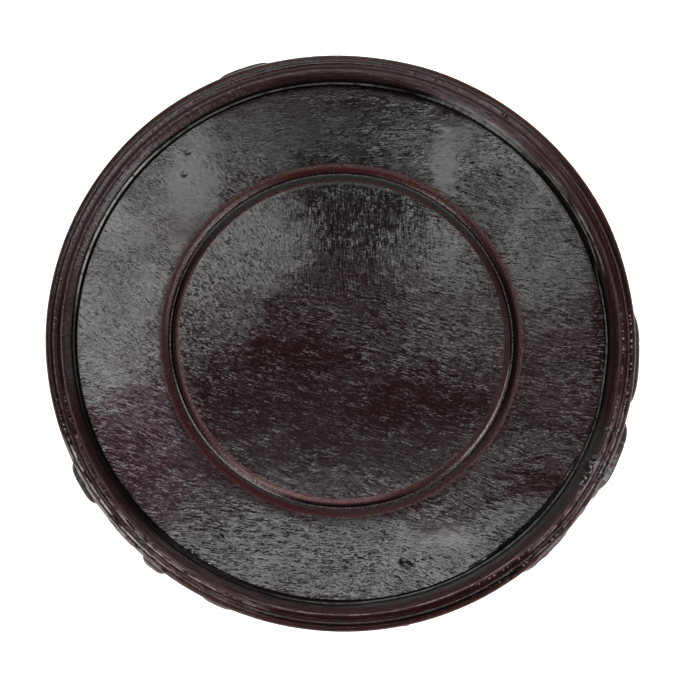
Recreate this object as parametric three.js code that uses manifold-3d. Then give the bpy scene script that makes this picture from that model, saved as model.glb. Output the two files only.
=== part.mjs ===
// Round display stand in lacquered hardwood, 150 mm across and 48 mm high.
//
// Frame: millimetres, +Z up, origin at the bottom centre of the stand, z = 0 on the
// surface that the feet stand on. Azimuths are in degrees from +X towards +Y.
//
// Construction, from the top down:
//   - a loose round panel with a turned ring groove, held by a tongue all round
//   - a moulded rim glued up from four curved segments with half-lap joints
//   - one batten in a sliding dovetail under the panel, across its grain
//   - three curved aprons that sit in the rabbet under the rim moulding
//   - three scroll-footed legs, tenoned into the rim and mortised for the aprons
//   - bamboo pegs through the leg tenons and the apron tenons
import * as THREE from "three";
import { mergeVertices } from "three/addons/utils/BufferGeometryUtils.js";
import Module from "manifold-3d";

// ---------------------------------------------------------------- dimensions
const GAP = 0.3; // clearance between pieces that meet
const STEPS = 72; // facets round a full turn

const RIM_R = 75; // outer radius of the rim moulding
const RIM_TOP = 48; // crest of the moulding
const RIM_BOTTOM = 36.5; // underside of the rim's inner body
const RIM_INNER_R = 63; // inner radius of the rim body, under the panel
const RABBET_R = 71; // radius of the rabbet face that backs aprons and legs
const LIP_BOTTOM = 45.6; // underside of the moulded lip
const LAP_Z = 41; // level of the half-lap joints
const LAP_DEG = 5; // overlap of the half-lap joints
const RIM_JOINTS = [54.7, 140.3, 226, 333]; // azimuths of the joints in the moulding

const PANEL_TOP = 46.6;
const PANEL_BOTTOM = 39.6;
const PANEL_R = 66.85; // visible edge of the panel
const TONGUE_R = 68.75;
const TONGUE_Z = [42.6, 44.5];
const RING_GROOVE = { inner: 41.85, bottom: 43.5, outer: 46.0, depth: 1.1 };

const LEG_AZIMUTHS = [110, 230, 350];
const LEG_TOP = 45.3;

const BATTEN_HALF = 5; // half width of the batten below the panel
const BATTEN_DOVETAIL = 6; // half width at the top of the dovetail
const BATTEN_Z = [34, 42.1];

const PEG_R = 0.9;

// Heights (mm) against outer radius, inner radius and half width of a leg.
const LEG_OUTER = [
  [0, 67.6], [2, 68.6], [4.4, 68.3], [7.2, 66.6], [10.5, 65.6], [14.5, 66.3], [19, 68.1],
  [25, 70.6], [31, 72.3], [36.2, 73.5], [40.5, 74.6], [43.2, 75.8], [LEG_TOP, 76.1],
];
const LEG_INNER = [
  [0, 58.2], [4.4, 57.3], [10, 56.5], [19, 58.2], [28, 60.6], [36.2, 62.3], [LEG_TOP, 62.3],
];
const LEG_HALF = [
  [0, 9.6], [2, 10.7], [4.6, 10.9], [7.4, 9.8], [10.5, 8.2], [14, 7.7], [19, 8.2],
  [24, 9.3], [28, 10.7], [31, 11.6], [36.2, 12.6], [LEG_TOP, 13.4],
];
// Heights against outer radius of an apron, and share of its half span against its lower edge.
const APRON_OUTER = [
  [20, 71.0], [26, 71.8], [30, 72.4], [34, 72.9], [38, 73.5], [42, 74.1], [LEG_TOP, 74.4],
];
const APRON_INNER_R = 68.4;
const APRON_EDGE = [
  [0, 35.4], [0.06, 34.2], [0.14, 33.2], [0.26, 32.6], [0.38, 33.4], [0.44, 32.0],
  [0.56, 30.4], [0.7, 29.6], [0.82, 28.2], [0.92, 25.6], [1, 22.4],
];

// ------------------------------------------------------------------- finishes
const lacquered = () =>
  new THREE.MeshStandardMaterial({ color: 0x2a1214, roughness: 0.28, metalness: 0 });
const bareWood = () =>
  new THREE.MeshStandardMaterial({ color: 0x4a2a20, roughness: 0.6, metalness: 0 });
const bamboo = () =>
  new THREE.MeshStandardMaterial({ color: 0xa98a55, roughness: 0.65, metalness: 0 });

// -------------------------------------------------------------------- helpers
const wasm = await Module();
wasm.setup();

const rad = (deg) => (deg * Math.PI) / 180;

// Smooth curve through [key, value] rows, monotone between neighbours.
function along(rows, at) {
  const n = rows.length;
  if (at <= rows[0][0]) return rows[0][1];
  if (at >= rows[n - 1][0]) return rows[n - 1][1];
  let i = 0;
  while (at > rows[i + 1][0]) i++;
  const slope = (k) => {
    if (k <= 0 || k >= n - 1) return 0;
    const a = (rows[k][1] - rows[k - 1][1]) / (rows[k][0] - rows[k - 1][0]);
    const b = (rows[k + 1][1] - rows[k][1]) / (rows[k + 1][0] - rows[k][0]);
    return a * b <= 0 ? 0 : (2 * a * b) / (a + b);
  };
  const [x0, y0] = rows[i], [x1, y1] = rows[i + 1], h = x1 - x0, t = (at - x0) / h;
  const m0 = i === 0 ? (y1 - y0) / h : slope(i);
  const m1 = i + 1 === n - 1 ? (y1 - y0) / h : slope(i + 1);
  const t2 = t * t, t3 = t2 * t;
  return (
    (2 * t3 - 3 * t2 + 1) * y0 + (t3 - 2 * t2 + t) * h * m0 +
    (3 * t2 - 2 * t3) * y1 + (t3 - t2) * h * m1
  );
}

// A closed three.js geometry as a solid that can be joined and cut.
function solid(geometry) {
  const g = geometry.clone();
  g.deleteAttribute("normal");
  g.deleteAttribute("uv");
  const merged = mergeVertices(g, 1e-4);
  return new wasm.Manifold(
    new wasm.Mesh({
      numProp: 3,
      vertProperties: new Float32Array(merged.attributes.position.array),
      triVerts: new Uint32Array(merged.index.array),
    }),
  );
}

function geometryOf(body) {
  const mesh = body.getMesh();
  const n = mesh.numProp;
  const position = new Float32Array(mesh.numVert * 3);
  for (let i = 0; i < mesh.numVert; i++)
    position.set(mesh.vertProperties.subarray(i * n, i * n + 3), i * 3);
  const g = new THREE.BufferGeometry();
  g.setAttribute("position", new THREE.BufferAttribute(position, 3));
  g.setIndex(new THREE.BufferAttribute(new Uint32Array(mesh.triVerts), 1));
  g.computeVertexNormals();
  return g;
}

// A section in (radius, height) turned round +Z. It closes on itself or ends on the axis.
function turned(section, closed = true) {
  const points = section.map(([r, z]) => new THREE.Vector2(r, z));
  if (closed) points.push(points[0].clone());
  return solid(new THREE.LatheGeometry(points, STEPS).rotateX(Math.PI / 2));
}

// A wedge between two azimuths and two heights, reaching past the rim.
function wedge(from, to, z0, z1) {
  const shape = new THREE.Shape();
  shape.moveTo(0, 0);
  const n = Math.max(2, Math.ceil((to - from) / 20));
  for (let i = 0; i <= n; i++) {
    const a = rad(from + ((to - from) * i) / n);
    shape.lineTo(110 * Math.cos(a), 110 * Math.sin(a));
  }
  shape.closePath();
  return solid(
    new THREE.ExtrudeGeometry(shape, { depth: z1 - z0, bevelEnabled: false }).translate(0, 0, z0),
  );
}

// A block in the frame of a radius: x across it, y outward along it, z up.
function block(azimuth, x, y, z) {
  return solid(
    new THREE.BoxGeometry(x[1] - x[0], y[1] - y[0], z[1] - z[0])
      .translate((x[0] + x[1]) / 2, (y[0] + y[1]) / 2, (z[0] + z[1]) / 2)
      .rotateZ(rad(azimuth - 90)),
  );
}

// A round rod along a radius, from one distance to another.
function rod(azimuth, x, y, z, radius) {
  return solid(
    new THREE.CylinderGeometry(radius, radius, y[1] - y[0], 12)
      .translate(x, (y[0] + y[1]) / 2, z)
      .rotateZ(rad(azimuth - 90)),
  );
}

// A block bent round the stand: map(u, w, v) gives azimuth, radius and height.
function bent(nu, nw, nv, map) {
  const g = new THREE.BoxGeometry(1, 1, 1, nu, nw, nv);
  const p = g.attributes.position;
  for (let i = 0; i < p.count; i++) {
    const [azimuth, r, z] = map(0.5 - p.getX(i), p.getY(i) + 0.5, p.getZ(i) + 0.5);
    p.setXYZ(i, r * Math.cos(rad(azimuth)), r * Math.sin(rad(azimuth)), z);
  }
  return solid(g);
}

const stand = new THREE.Group();
function add(name, body, material) {
  const mesh = new THREE.Mesh(geometryOf(body), material);
  mesh.name = name;
  stand.add(mesh);
}

// ------------------------------------------------------------------ top panel
const { inner, bottom, outer, depth } = RING_GROOVE;
let panel = turned(
  [
    [0, PANEL_BOTTOM],
    [RIM_INNER_R - GAP, PANEL_BOTTOM],
    [RIM_INNER_R - GAP, TONGUE_Z[0]],
    [TONGUE_R, TONGUE_Z[0]],
    [TONGUE_R, TONGUE_Z[1]],
    [PANEL_R, TONGUE_Z[1]],
    [PANEL_R, PANEL_TOP - 0.3],
    [PANEL_R - 0.3, PANEL_TOP],
    [outer + 0.5, PANEL_TOP],
    [outer - 0.1, PANEL_TOP - 0.1],
    [outer - 0.8, PANEL_TOP - 0.45 * depth],
    [bottom + 0.9, PANEL_TOP - 0.85 * depth],
    [bottom + 0.2, PANEL_TOP - depth],
    [bottom - 0.4, PANEL_TOP - 0.95 * depth],
    [inner + 0.6, PANEL_TOP - 0.5 * depth],
    [inner + 0.1, PANEL_TOP - 0.1],
    [inner - 0.5, PANEL_TOP],
    [0, PANEL_TOP],
  ],
  false,
);

// The batten's dovetail section, with room round it for the slot.
const dovetail = (room, low, high, length) => {
  const s = new THREE.Shape();
  s.moveTo(-BATTEN_HALF - room, low);
  s.lineTo(BATTEN_HALF + room, low);
  s.lineTo(BATTEN_HALF + room, PANEL_BOTTOM - 0.1);
  s.lineTo(BATTEN_DOVETAIL + room, high);
  s.lineTo(-BATTEN_DOVETAIL - room, high);
  s.lineTo(-BATTEN_HALF - room, PANEL_BOTTOM - 0.1);
  s.closePath();
  return solid(
    new THREE.ExtrudeGeometry(s, { depth: length, bevelEnabled: false })
      .rotateX(Math.PI / 2)
      .translate(0, length / 2, 0),
  );
};
panel = panel.subtract(dovetail(GAP, PANEL_BOTTOM - 3, BATTEN_Z[1] + GAP, 160));
add("top_panel", panel, lacquered());

const BATTEN_END = RIM_INNER_R - 0.8; // clears the curve of the rim body
let batten = dovetail(0, BATTEN_Z[0], BATTEN_Z[1], 2 * BATTEN_END);
batten = batten.add(block(90, [-3.5, 3.5], [BATTEN_END - 1, 66], [37.3, 40.3]));
batten = batten.add(block(270, [-3.5, 3.5], [BATTEN_END - 1, 66], [37.3, 40.3]));
add("panel_batten", batten, bareWood());

// ----------------------------------------------------------------------- rim
let rim = turned([
  [RIM_INNER_R, RIM_BOTTOM],
  [RABBET_R, RIM_BOTTOM],
  [RABBET_R, LIP_BOTTOM],
  [73.7, LIP_BOTTOM],
  [74.6, 45.95],
  [RIM_R, 46.6],
  [74.9, 47.3],
  [74.55, 47.6],
  [74.12, 47.35],
  [73.7, 47.8],
  [73.15, 47.9],
  [72.6, 47.75],
  [72.25, 47.3],
  [71.8, 47.8],
  [71.0, 48.0],
  [69.9, RIM_TOP],
  [68.9, 47.75],
  [68.2, 47.25],
  [67.9, 46.6],
  [67.15, 45.4],
  [67.15, TONGUE_Z[1] + GAP],
  [TONGUE_R + GAP, TONGUE_Z[1] + GAP],
  [TONGUE_R + GAP, TONGUE_Z[0] - GAP],
  [RIM_INNER_R, TONGUE_Z[0] - GAP],
]);
for (const side of [90, 270])
  rim = rim.subtract(block(side, [-3.8, 3.8], [60, 66.4], [37, 40.6]));
for (const azimuth of LEG_AZIMUTHS) {
  rim = rim.subtract(block(azimuth, [-3.3, 3.3], [64.3, 68.9], [RIM_BOTTOM - 1, 41.3]));
  rim = rim.subtract(rod(azimuth, 0, [60, 64.8], 38.2, PEG_R + GAP));
}
const END = 0.125; // half of the joint clearance, in degrees
RIM_JOINTS.forEach((start, i) => {
  const stop = RIM_JOINTS[(i + 1) % 4] + (i === 3 ? 360 : 0);
  const low = RIM_BOTTOM - 2, high = RIM_TOP + 2;
  const cutter = wedge(start + END, stop - LAP_DEG - END, low, high)
    .add(wedge(stop - LAP_DEG - 1, stop - END, LAP_Z + GAP / 2, high))
    .add(wedge(start - LAP_DEG + END, start + 1, low, LAP_Z - GAP / 2));
  add("rim_segment_" + (i + 1), rim.intersect(cutter), lacquered());
});

// ---------------------------------------------------------------------- legs
// The space of the rim with clearance, cut away from legs and aprons.
const rimRoom = turned([
  [40, RIM_BOTTOM - GAP],
  [RABBET_R + GAP, RIM_BOTTOM - GAP],
  [RABBET_R + GAP, LIP_BOTTOM - GAP],
  [90, LIP_BOTTOM - GAP],
  [90, 60],
  [40, 60],
]);

// Half angle that a leg covers at a height and a radius.
const legHalfDeg = (z, r) => (Math.asin(along(LEG_HALF, z) / r) * 180) / Math.PI;
const NV = 15;
const levels = Array.from({ length: NV + 1 }, (_, i) => {
  const t = i / NV; // closer levels at the foot, where the outline turns quickly
  return LEG_TOP * Math.pow(t, 1.25);
});
const levelAt = (v) => levels[Math.round(v * NV)];

const APRON_TENON = { z: [29.5, 34.5], y: [68.0, 69.8] };
LEG_AZIMUTHS.forEach((azimuth, i) => {
  let leg = bent(6, 1, NV, (u, w, v) => {
    const z = levelAt(v);
    const crown = 0.55 * (1 - Math.pow(2 * u - 1, 2)) - 0.4; // the face is a little crowned
    const r = w < 0.5 ? along(LEG_INNER, z) : along(LEG_OUTER, z) + crown;
    return [azimuth + (2 * u - 1) * legHalfDeg(z, r), r, z];
  }).subtract(rimRoom);
  leg = leg.add(block(azimuth, [-3, 3], [64.6, 68.6], [RIM_BOTTOM - 2, 41]));
  leg = leg.subtract(rod(azimuth, 0, [60, 68.3], 38.2, PEG_R + GAP));
  for (const side of [-1, 1]) {
    const x = [7.9, 20].map((d) => side * d).sort((a, b) => a - b);
    leg = leg.subtract(
      block(azimuth, x, [APRON_TENON.y[0] - GAP, APRON_TENON.y[1] + GAP],
        [APRON_TENON.z[0] - GAP, APRON_TENON.z[1] + GAP]),
    );
    leg = leg.subtract(rod(azimuth, side * 9.7, [50, 68.5], 32, PEG_R + GAP));
  }
  add("leg_" + (i + 1), leg, lacquered());
  add("leg_peg_" + (i + 1), rod(azimuth, 0, [63.1, 68], 38.2, PEG_R), bamboo());
});

// -------------------------------------------------------------------- aprons
const NU = 24;
LEG_AZIMUTHS.forEach((azimuth, i) => {
  const middle = azimuth + 60;
  let apron = bent(NU, 1, 5, (u, w, v) => {
    const s = 2 * u - 1;
    const edge = along(APRON_EDGE, Math.abs(s));
    const z = edge + (LEG_TOP - edge) * v;
    const r = w < 0.5 ? APRON_INNER_R : along(APRON_OUTER, z);
    const half = 60 - legHalfDeg(z, r) - (GAP / r) * (180 / Math.PI);
    return [middle + s * half, r, z];
  }).subtract(rimRoom);
  for (const [host, side] of [[azimuth, -1], [azimuth + 120, 1]]) {
    const x = [8.2, 12.9].map((d) => side * d).sort((a, b) => a - b);
    apron = apron.add(block(host, x, APRON_TENON.y, APRON_TENON.z));
    apron = apron.subtract(rod(host, side * 9.7, [50, 69.4], 32, PEG_R + GAP));
  }
  add("apron_" + (i + 1), apron, lacquered());
});
LEG_AZIMUTHS.forEach((azimuth, i) => {
  add("apron_peg_" + (2 * i + 1), rod(azimuth, -9.7, [61, 69.1], 32, PEG_R), bamboo());
  add("apron_peg_" + (2 * i + 2), rod(azimuth, 9.7, [61, 69.1], 32, PEG_R), bamboo());
});

export default stand;
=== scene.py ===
# Looks of the round lacquered display stand: moulded rim, turned panel, carved legs and aprons.
# Lengths are worked out in millimetres and written to the meshes in metres.
import math

import bmesh
import bpy
import numpy as np
from mathutils import Matrix, Vector


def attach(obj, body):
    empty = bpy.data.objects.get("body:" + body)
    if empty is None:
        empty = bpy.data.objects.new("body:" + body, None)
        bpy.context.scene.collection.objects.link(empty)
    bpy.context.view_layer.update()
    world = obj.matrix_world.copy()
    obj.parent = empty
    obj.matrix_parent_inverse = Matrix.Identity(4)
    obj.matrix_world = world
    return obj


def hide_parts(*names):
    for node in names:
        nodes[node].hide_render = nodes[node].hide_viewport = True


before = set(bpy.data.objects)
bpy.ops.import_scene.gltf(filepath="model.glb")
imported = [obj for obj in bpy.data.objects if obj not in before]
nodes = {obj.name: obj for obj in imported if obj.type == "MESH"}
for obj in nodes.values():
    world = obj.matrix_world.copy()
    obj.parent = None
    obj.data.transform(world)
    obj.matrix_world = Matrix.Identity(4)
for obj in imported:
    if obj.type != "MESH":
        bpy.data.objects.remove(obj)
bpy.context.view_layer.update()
MM = 0.001

# ------------------------------------------------------------------ dimensions
LEGS = (110.0, 230.0, 350.0)
LEG_TOP = 45.3
RIM_TOP = 48.0
RIM_JOINTS = (54.7, 140.3, 226.0, 333.0)
LAP_DEG, LAP_Z = 5.0, 41.0
PANEL_TOP = 46.6
PANEL_R = 66.9

LEG_OUTER = [(0, 67.6), (2, 68.6), (4.4, 68.3), (7.2, 66.6), (10.5, 65.6), (14.5, 66.3), (19, 68.1),
             (25, 70.6), (31, 72.2), (36.2, 73.1), (40.5, 73.7), (43.2, 74.1), (LEG_TOP, 74.3)]
LEG_INNER = [(0, 58.2), (4.4, 57.3), (10, 56.5), (19, 58.2), (28, 60.6), (36.2, 62.3), (LEG_TOP, 62.3)]
LEG_HALF = [(0, 9.6), (2, 10.7), (4.6, 10.9), (7.4, 9.8), (10.5, 8.2), (14, 7.7), (19, 8.2),
            (24, 9.3), (28, 10.7), (31, 11.6), (36.2, 12.6), (LEG_TOP, 13.4)]
APRON_OUTER = [(20, 71.0), (26, 71.8), (30, 72.3), (34, 72.8), (38, 73.3), (42, 73.9), (LEG_TOP, 74.25)]
APRON_INNER = 68.4
APRON_EDGE = [(0, 35.4), (0.06, 34.2), (0.14, 33.2), (0.26, 32.6), (0.38, 33.4), (0.44, 32.0),
              (0.56, 30.4), (0.7, 29.6), (0.82, 28.2), (0.92, 25.6), (1, 22.4)]


# --------------------------------------------------------------------- helpers
def along(rows, at):
    """The same monotone curve through (key, value) rows as the solids have, for an array of keys."""
    k = np.array([r[0] for r in rows], float)
    v = np.array([r[1] for r in rows], float)
    at = np.clip(np.asarray(at, float), k[0], k[-1])
    d = np.diff(v) / np.diff(k)
    m = np.zeros(len(k))
    prod = d[:-1] * d[1:]
    ok = prod > 0
    m[1:-1][ok] = 2 * prod[ok] / (d[:-1][ok] + d[1:][ok])
    m[0], m[-1] = d[0], d[-1]
    i = np.clip(np.searchsorted(k, at, side="right") - 1, 0, len(k) - 2)
    h = k[i + 1] - k[i]
    t = (at - k[i]) / h
    return ((2 * t**3 - 3 * t**2 + 1) * v[i] + (t**3 - 2 * t**2 + t) * h * m[i]
            + (3 * t**2 - 2 * t**3) * v[i + 1] + (t**3 - t**2) * h * m[i + 1])


def smooth(a, b, x):
    t = np.clip((np.asarray(x, float) - a) / (b - a), 0, 1)
    return t * t * (3 - 2 * t)


def hashed(ix, iy, seed):
    n = (ix.astype(np.int64) * 374761393 + iy.astype(np.int64) * 668265263 + seed * 1442695041) & 0x7FFFFFFF
    n = ((n ^ (n >> 13)) * 1274126177) & 0x7FFFFFFF
    n = n ^ (n >> 16)
    return (n & 0xFFFF) / 65535.0


def noise2(x, y, seed=0):
    """Smooth noise from -1 to 1 on a plane, the same each run."""
    x, y = np.broadcast_arrays(np.asarray(x, float), np.asarray(y, float))
    ix, iy = np.floor(x), np.floor(y)
    fx, fy = x - ix, y - iy
    fx, fy = fx * fx * (3 - 2 * fx), fy * fy * (3 - 2 * fy)
    a, b = hashed(ix, iy, seed), hashed(ix + 1, iy, seed)
    c, d = hashed(ix, iy + 1, seed), hashed(ix + 1, iy + 1, seed)
    return 2 * ((a * (1 - fx) + b * fx) * (1 - fy) + (c * (1 - fx) + d * fx) * fy) - 1


def spline(points, n):
    """n points along a smooth curve through the given (r, z) points, evenly spread by length."""
    p = np.array(points, float)
    ext = np.vstack([2 * p[0] - p[1], p, 2 * p[-1] - p[-2]])
    out = []
    for i in range(len(p) - 1):
        p0, p1, p2, p3 = ext[i], ext[i + 1], ext[i + 2], ext[i + 3]
        t = np.linspace(0, 1, 24, endpoint=False)[:, None]
        out.append(0.5 * (2 * p1 + (p2 - p0) * t + (2 * p0 - 5 * p1 + 4 * p2 - p3) * t**2
                          + (3 * p1 - p0 - 3 * p2 + p3) * t**3))
    out = np.vstack(out + [p[-1:]])
    s = np.r_[0, np.cumsum(np.hypot(*np.diff(out, axis=0).T))]
    w = np.linspace(0, s[-1], n)
    return np.c_[np.interp(w, s, out[:, 0]), np.interp(w, s, out[:, 1])]


def mesh_object(name, verts, faces, mats, face_mats=None, smooth_angle=40.0):
    mesh = bpy.data.meshes.new(name)
    mesh.from_pydata([tuple(v) for v in np.asarray(verts, float) * MM], [], faces)
    mesh.update()
    obj = bpy.data.objects.new(name, mesh)
    bpy.context.scene.collection.objects.link(obj)
    for m in mats:
        mesh.materials.append(m)
    if face_mats is not None:
        mesh.polygons.foreach_set("material_index", face_mats)
    bm = bmesh.new()
    bm.from_mesh(mesh)
    bmesh.ops.remove_doubles(bm, verts=bm.verts, dist=1e-7)
    bmesh.ops.recalc_face_normals(bm, faces=bm.faces)
    for f in bm.faces:
        f.smooth = True
    limit = math.radians(smooth_angle)
    for e in bm.edges:
        if len(e.link_faces) == 2 and e.calc_face_angle(0) > limit:
            e.smooth = False
    bm.to_mesh(mesh)
    bm.free()
    mesh.update()
    return obj


def polar(r, deg, z):
    a = np.radians(deg)
    return np.stack([r * np.cos(a), r * np.sin(a), np.broadcast_to(z, np.shape(r * np.cos(a)))], -1)


# ---------------------------------------------------------------- materials
def node(tree, kind, **values):
    n = tree.nodes.new(kind)
    for key, value in values.items():
        if key in n.inputs:
            n.inputs[key].default_value = value
        else:
            setattr(n, key, value)
    return n


def math_node(tree, op, a, b=None, c=None, clamp=False):
    n = tree.nodes.new("ShaderNodeMath")
    n.operation = op
    n.use_clamp = clamp
    for i, v in enumerate((a, b, c)):
        if v is None:
            continue
        if isinstance(v, (int, float)):
            n.inputs[i].default_value = v
        else:
            tree.links.new(v, n.inputs[i])
    return n.outputs[0]


def ramp(tree, source, stops):
    n = tree.nodes.new("ShaderNodeValToRGB")
    e = n.color_ramp.elements
    while len(e) < len(stops):
        e.new(0.5)
    for i, (pos, col) in enumerate(stops):
        e[i].position = pos
        e[i].color = (*col, 1) if len(col) == 3 else col
    tree.links.new(source, n.inputs[0])
    return n.outputs[0]


def mix_colour(tree, factor, a, b):
    n = tree.nodes.new("ShaderNodeMix")
    n.data_type = "RGBA"
    for key, v in ((0, factor), (6, a), (7, b)):
        if isinstance(v, (int, float)):
            n.inputs[key].default_value = v
        elif isinstance(v, tuple):
            n.inputs[key].default_value = (*v, 1)
        else:
            tree.links.new(v, n.inputs[key])
    return n.outputs[2]


def new_material(name):
    m = bpy.data.materials.new(name)
    m.use_nodes = True
    m.node_tree.nodes.clear()
    t = m.node_tree
    out = t.nodes.new("ShaderNodeOutputMaterial")
    bsdf = t.nodes.new("ShaderNodeBsdfPrincipled")
    t.links.new(bsdf.outputs[0], out.inputs[0])
    return m, t, bsdf


def place(tree, scale=(1000, 1000, 1000), rot=(0, 0, 0), loc=(0, 0, 0)):
    """Object coordinates in millimetres, turned and stretched."""
    tc = tree.nodes.new("ShaderNodeTexCoord")
    mp = tree.nodes.new("ShaderNodeMapping")
    mp.inputs["Location"].default_value = loc
    mp.inputs["Rotation"].default_value = rot
    mp.inputs["Scale"].default_value = scale
    tree.links.new(tc.outputs["Object"], mp.inputs[0])
    return mp.outputs[0]


def noise_tex(tree, vec, scale=1.0, detail=2.0, rough=0.5, distortion=0.0, dims="3D"):
    n = tree.nodes.new("ShaderNodeTexNoise")
    n.noise_dimensions = dims
    n.inputs["Scale"].default_value = scale
    n.inputs["Detail"].default_value = detail
    n.inputs["Roughness"].default_value = rough
    n.inputs["Distortion"].default_value = distortion
    if vec is not None:
        tree.links.new(vec, n.inputs["Vector"])
    return n


def spot(tree, xy, radius, soft, source=None):
    """1 inside a round patch of the plan, 0 outside it, in millimetres."""
    if source is None:
        source = place(tree)
    rx, ry = radius if isinstance(radius, tuple) else (radius, radius)
    mp = tree.nodes.new("ShaderNodeMapping")
    mp.inputs["Location"].default_value = (-xy[0] / rx, -xy[1] / ry, 0)
    mp.inputs["Scale"].default_value = (1 / rx, 1 / ry, 0)
    tree.links.new(source, mp.inputs[0])
    d = tree.nodes.new("ShaderNodeVectorMath")
    d.operation = "LENGTH"
    tree.links.new(mp.outputs[0], d.inputs[0])
    n = tree.nodes.new("ShaderNodeMapRange")
    n.interpolation_type = "SMOOTHSTEP"
    n.inputs["From Min"].default_value = 1 + soft
    n.inputs["From Max"].default_value = 1 - soft
    tree.links.new(d.outputs["Value"], n.inputs["Value"])
    return n.outputs[0]


def radius_of(tree):
    """Distance from the stand's axis in millimetres."""
    flat = tree.nodes.new("ShaderNodeVectorMath")
    flat.operation = "MULTIPLY"
    flat.inputs[1].default_value = (1, 1, 0)
    tree.links.new(place(tree), flat.inputs[0])
    length = tree.nodes.new("ShaderNodeVectorMath")
    length.operation = "LENGTH"
    tree.links.new(flat.outputs[0], length.inputs[0])
    return length.outputs["Value"]


def between(tree, value, low, high):
    n = tree.nodes.new("ShaderNodeMapRange")
    n.inputs["From Min"].default_value = low
    n.inputs["From Max"].default_value = high
    tree.links.new(value, n.inputs["Value"])
    return n.outputs[0]


def radial_noise(tree, along_, outward, detail=2.0, rough=0.6, shift=0.0):
    """Noise that is stretched along the radius: cells per mm round the ring and along the radius."""
    flat = tree.nodes.new("ShaderNodeVectorMath")
    flat.operation = "MULTIPLY"
    flat.inputs[1].default_value = (1, 1, 0)
    tree.links.new(place(tree), flat.inputs[0])
    unit = tree.nodes.new("ShaderNodeVectorMath")
    unit.operation = "NORMALIZE"
    tree.links.new(flat.outputs[0], unit.inputs[0])
    ring = tree.nodes.new("ShaderNodeVectorMath")
    ring.operation = "SCALE"
    ring.inputs["Scale"].default_value = 70.0 * along_
    tree.links.new(unit.outputs[0], ring.inputs[0])
    lift = tree.nodes.new("ShaderNodeCombineXYZ")
    tree.links.new(math_node(tree, "MULTIPLY_ADD", radius_of(tree), outward, shift), lift.inputs["Z"])
    both = tree.nodes.new("ShaderNodeVectorMath")
    both.operation = "ADD"
    tree.links.new(ring.outputs[0], both.inputs[0])
    tree.links.new(lift.outputs[0], both.inputs[1])
    return noise_tex(tree, both.outputs[0], scale=1.0, detail=detail, rough=rough).outputs[0]


def sector(tree, middle, half, soft):
    """1 within half degrees of the azimuth middle, 0 beyond half + soft."""
    flat = tree.nodes.new("ShaderNodeVectorMath")
    flat.operation = "MULTIPLY"
    flat.inputs[1].default_value = (1, 1, 0)
    tree.links.new(place(tree), flat.inputs[0])
    unit = tree.nodes.new("ShaderNodeVectorMath")
    unit.operation = "NORMALIZE"
    tree.links.new(flat.outputs[0], unit.inputs[0])
    dot = tree.nodes.new("ShaderNodeVectorMath")
    dot.operation = "DOT_PRODUCT"
    dot.inputs[1].default_value = (math.cos(math.radians(middle)), math.sin(math.radians(middle)), 0)
    tree.links.new(unit.outputs[0], dot.inputs[0])
    return between(tree, dot.outputs["Value"], math.cos(math.radians(half + soft)), math.cos(math.radians(half)))


def largest(tree, items):
    out = items[0]
    for item in items[1:]:
        out = math_node(tree, "MAXIMUM", out, item)
    return out


def height_of(tree):
    """Height above the floor in millimetres."""
    parts = tree.nodes.new("ShaderNodeSeparateXYZ")
    tree.links.new(place(tree), parts.inputs[0])
    return parts.outputs["Z"]


DARK = (0.0122, 0.0032, 0.0036)
MAROON = (0.0220, 0.0046, 0.0050)

# Places on the panel where the lacquer lies glossy, in mm: centre, half widths, gloss.
GLOSSY = (
    ((-60, 17), (23, 34), 0.83), ((-43, 45), (18, 18), 0.82), ((-60, 32), (10, 14), 0.95), ((-22, 25), (14, 15), 0.84), ((-30, 8), (9, 10), 0.55),
    ((27, 46), (5.5, 13), 0.80), ((29, 23), (9, 14), 0.80), ((53, 28), (17, 26), 0.86), ((-22, 52), (15, 12), 0.60),
    ((40, 52), (14, 9), 0.70), ((37, 38), (12, 8), 0.66),
    ((24, -59), (24, 12), 1.0), ((-8, -56), (46, 13), 0.84), ((2, -49), (22, 5), 0.86), ((42, -48), (12, 8), 0.88), ((-52, -22), (16, 16), 0.32),
    ((6, -42), (52, 9), 0.45), ((33, 7), (20, 16), 0.46), ((57, -2), (12, 22), 0.34), ((-36, 15), (8, 9), 0.78), ((47, -42), (9, 6), 0.68), ((-62, -10), (9, 8), 0.88), ((-8, 58), (22, 12), 0.42), ((20, 56), (12, 14), 0.54),
    ((18, 22), (8, 13), 0.55), ((46, -32), (20, 8), 0.43), ((32, -56), (14, 10), 1.0),
)
# Places where it is sunk and dull, and the wood shows red through it.
DULL = (
    ((-13, -4), (13, 5), 0.17), ((15, -17), (19, 6), 0.14), ((-29, -17), (9, 7), 0.10),
    ((47.5, -36), (5.5, 4), 0.2), ((-6, -28), (14, 3), 0.02), ((-54, -31), (9, 6), 0.08), ((-15, -15), (14, 8), 0.09),
    ((0, 35), (12, 8), 0.07), ((6, 62.5), (13, 4), 0.07),
)
# Places where it lies smooth over the grain, and where the grain stands up roughest.
SMOOTH = (((-38, 36), (7, 17)), ((29, 54), (4.5, 6)), ((26, 46), (3.2, 9.5)), ((25, -50), (9, 4)))
ROUGHEST = (((8, 32), (17, 13)), ((26, 24), (9, 10)), ((26, -54), (34, 9)), ((-20, -50), (16, 8)))


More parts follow.
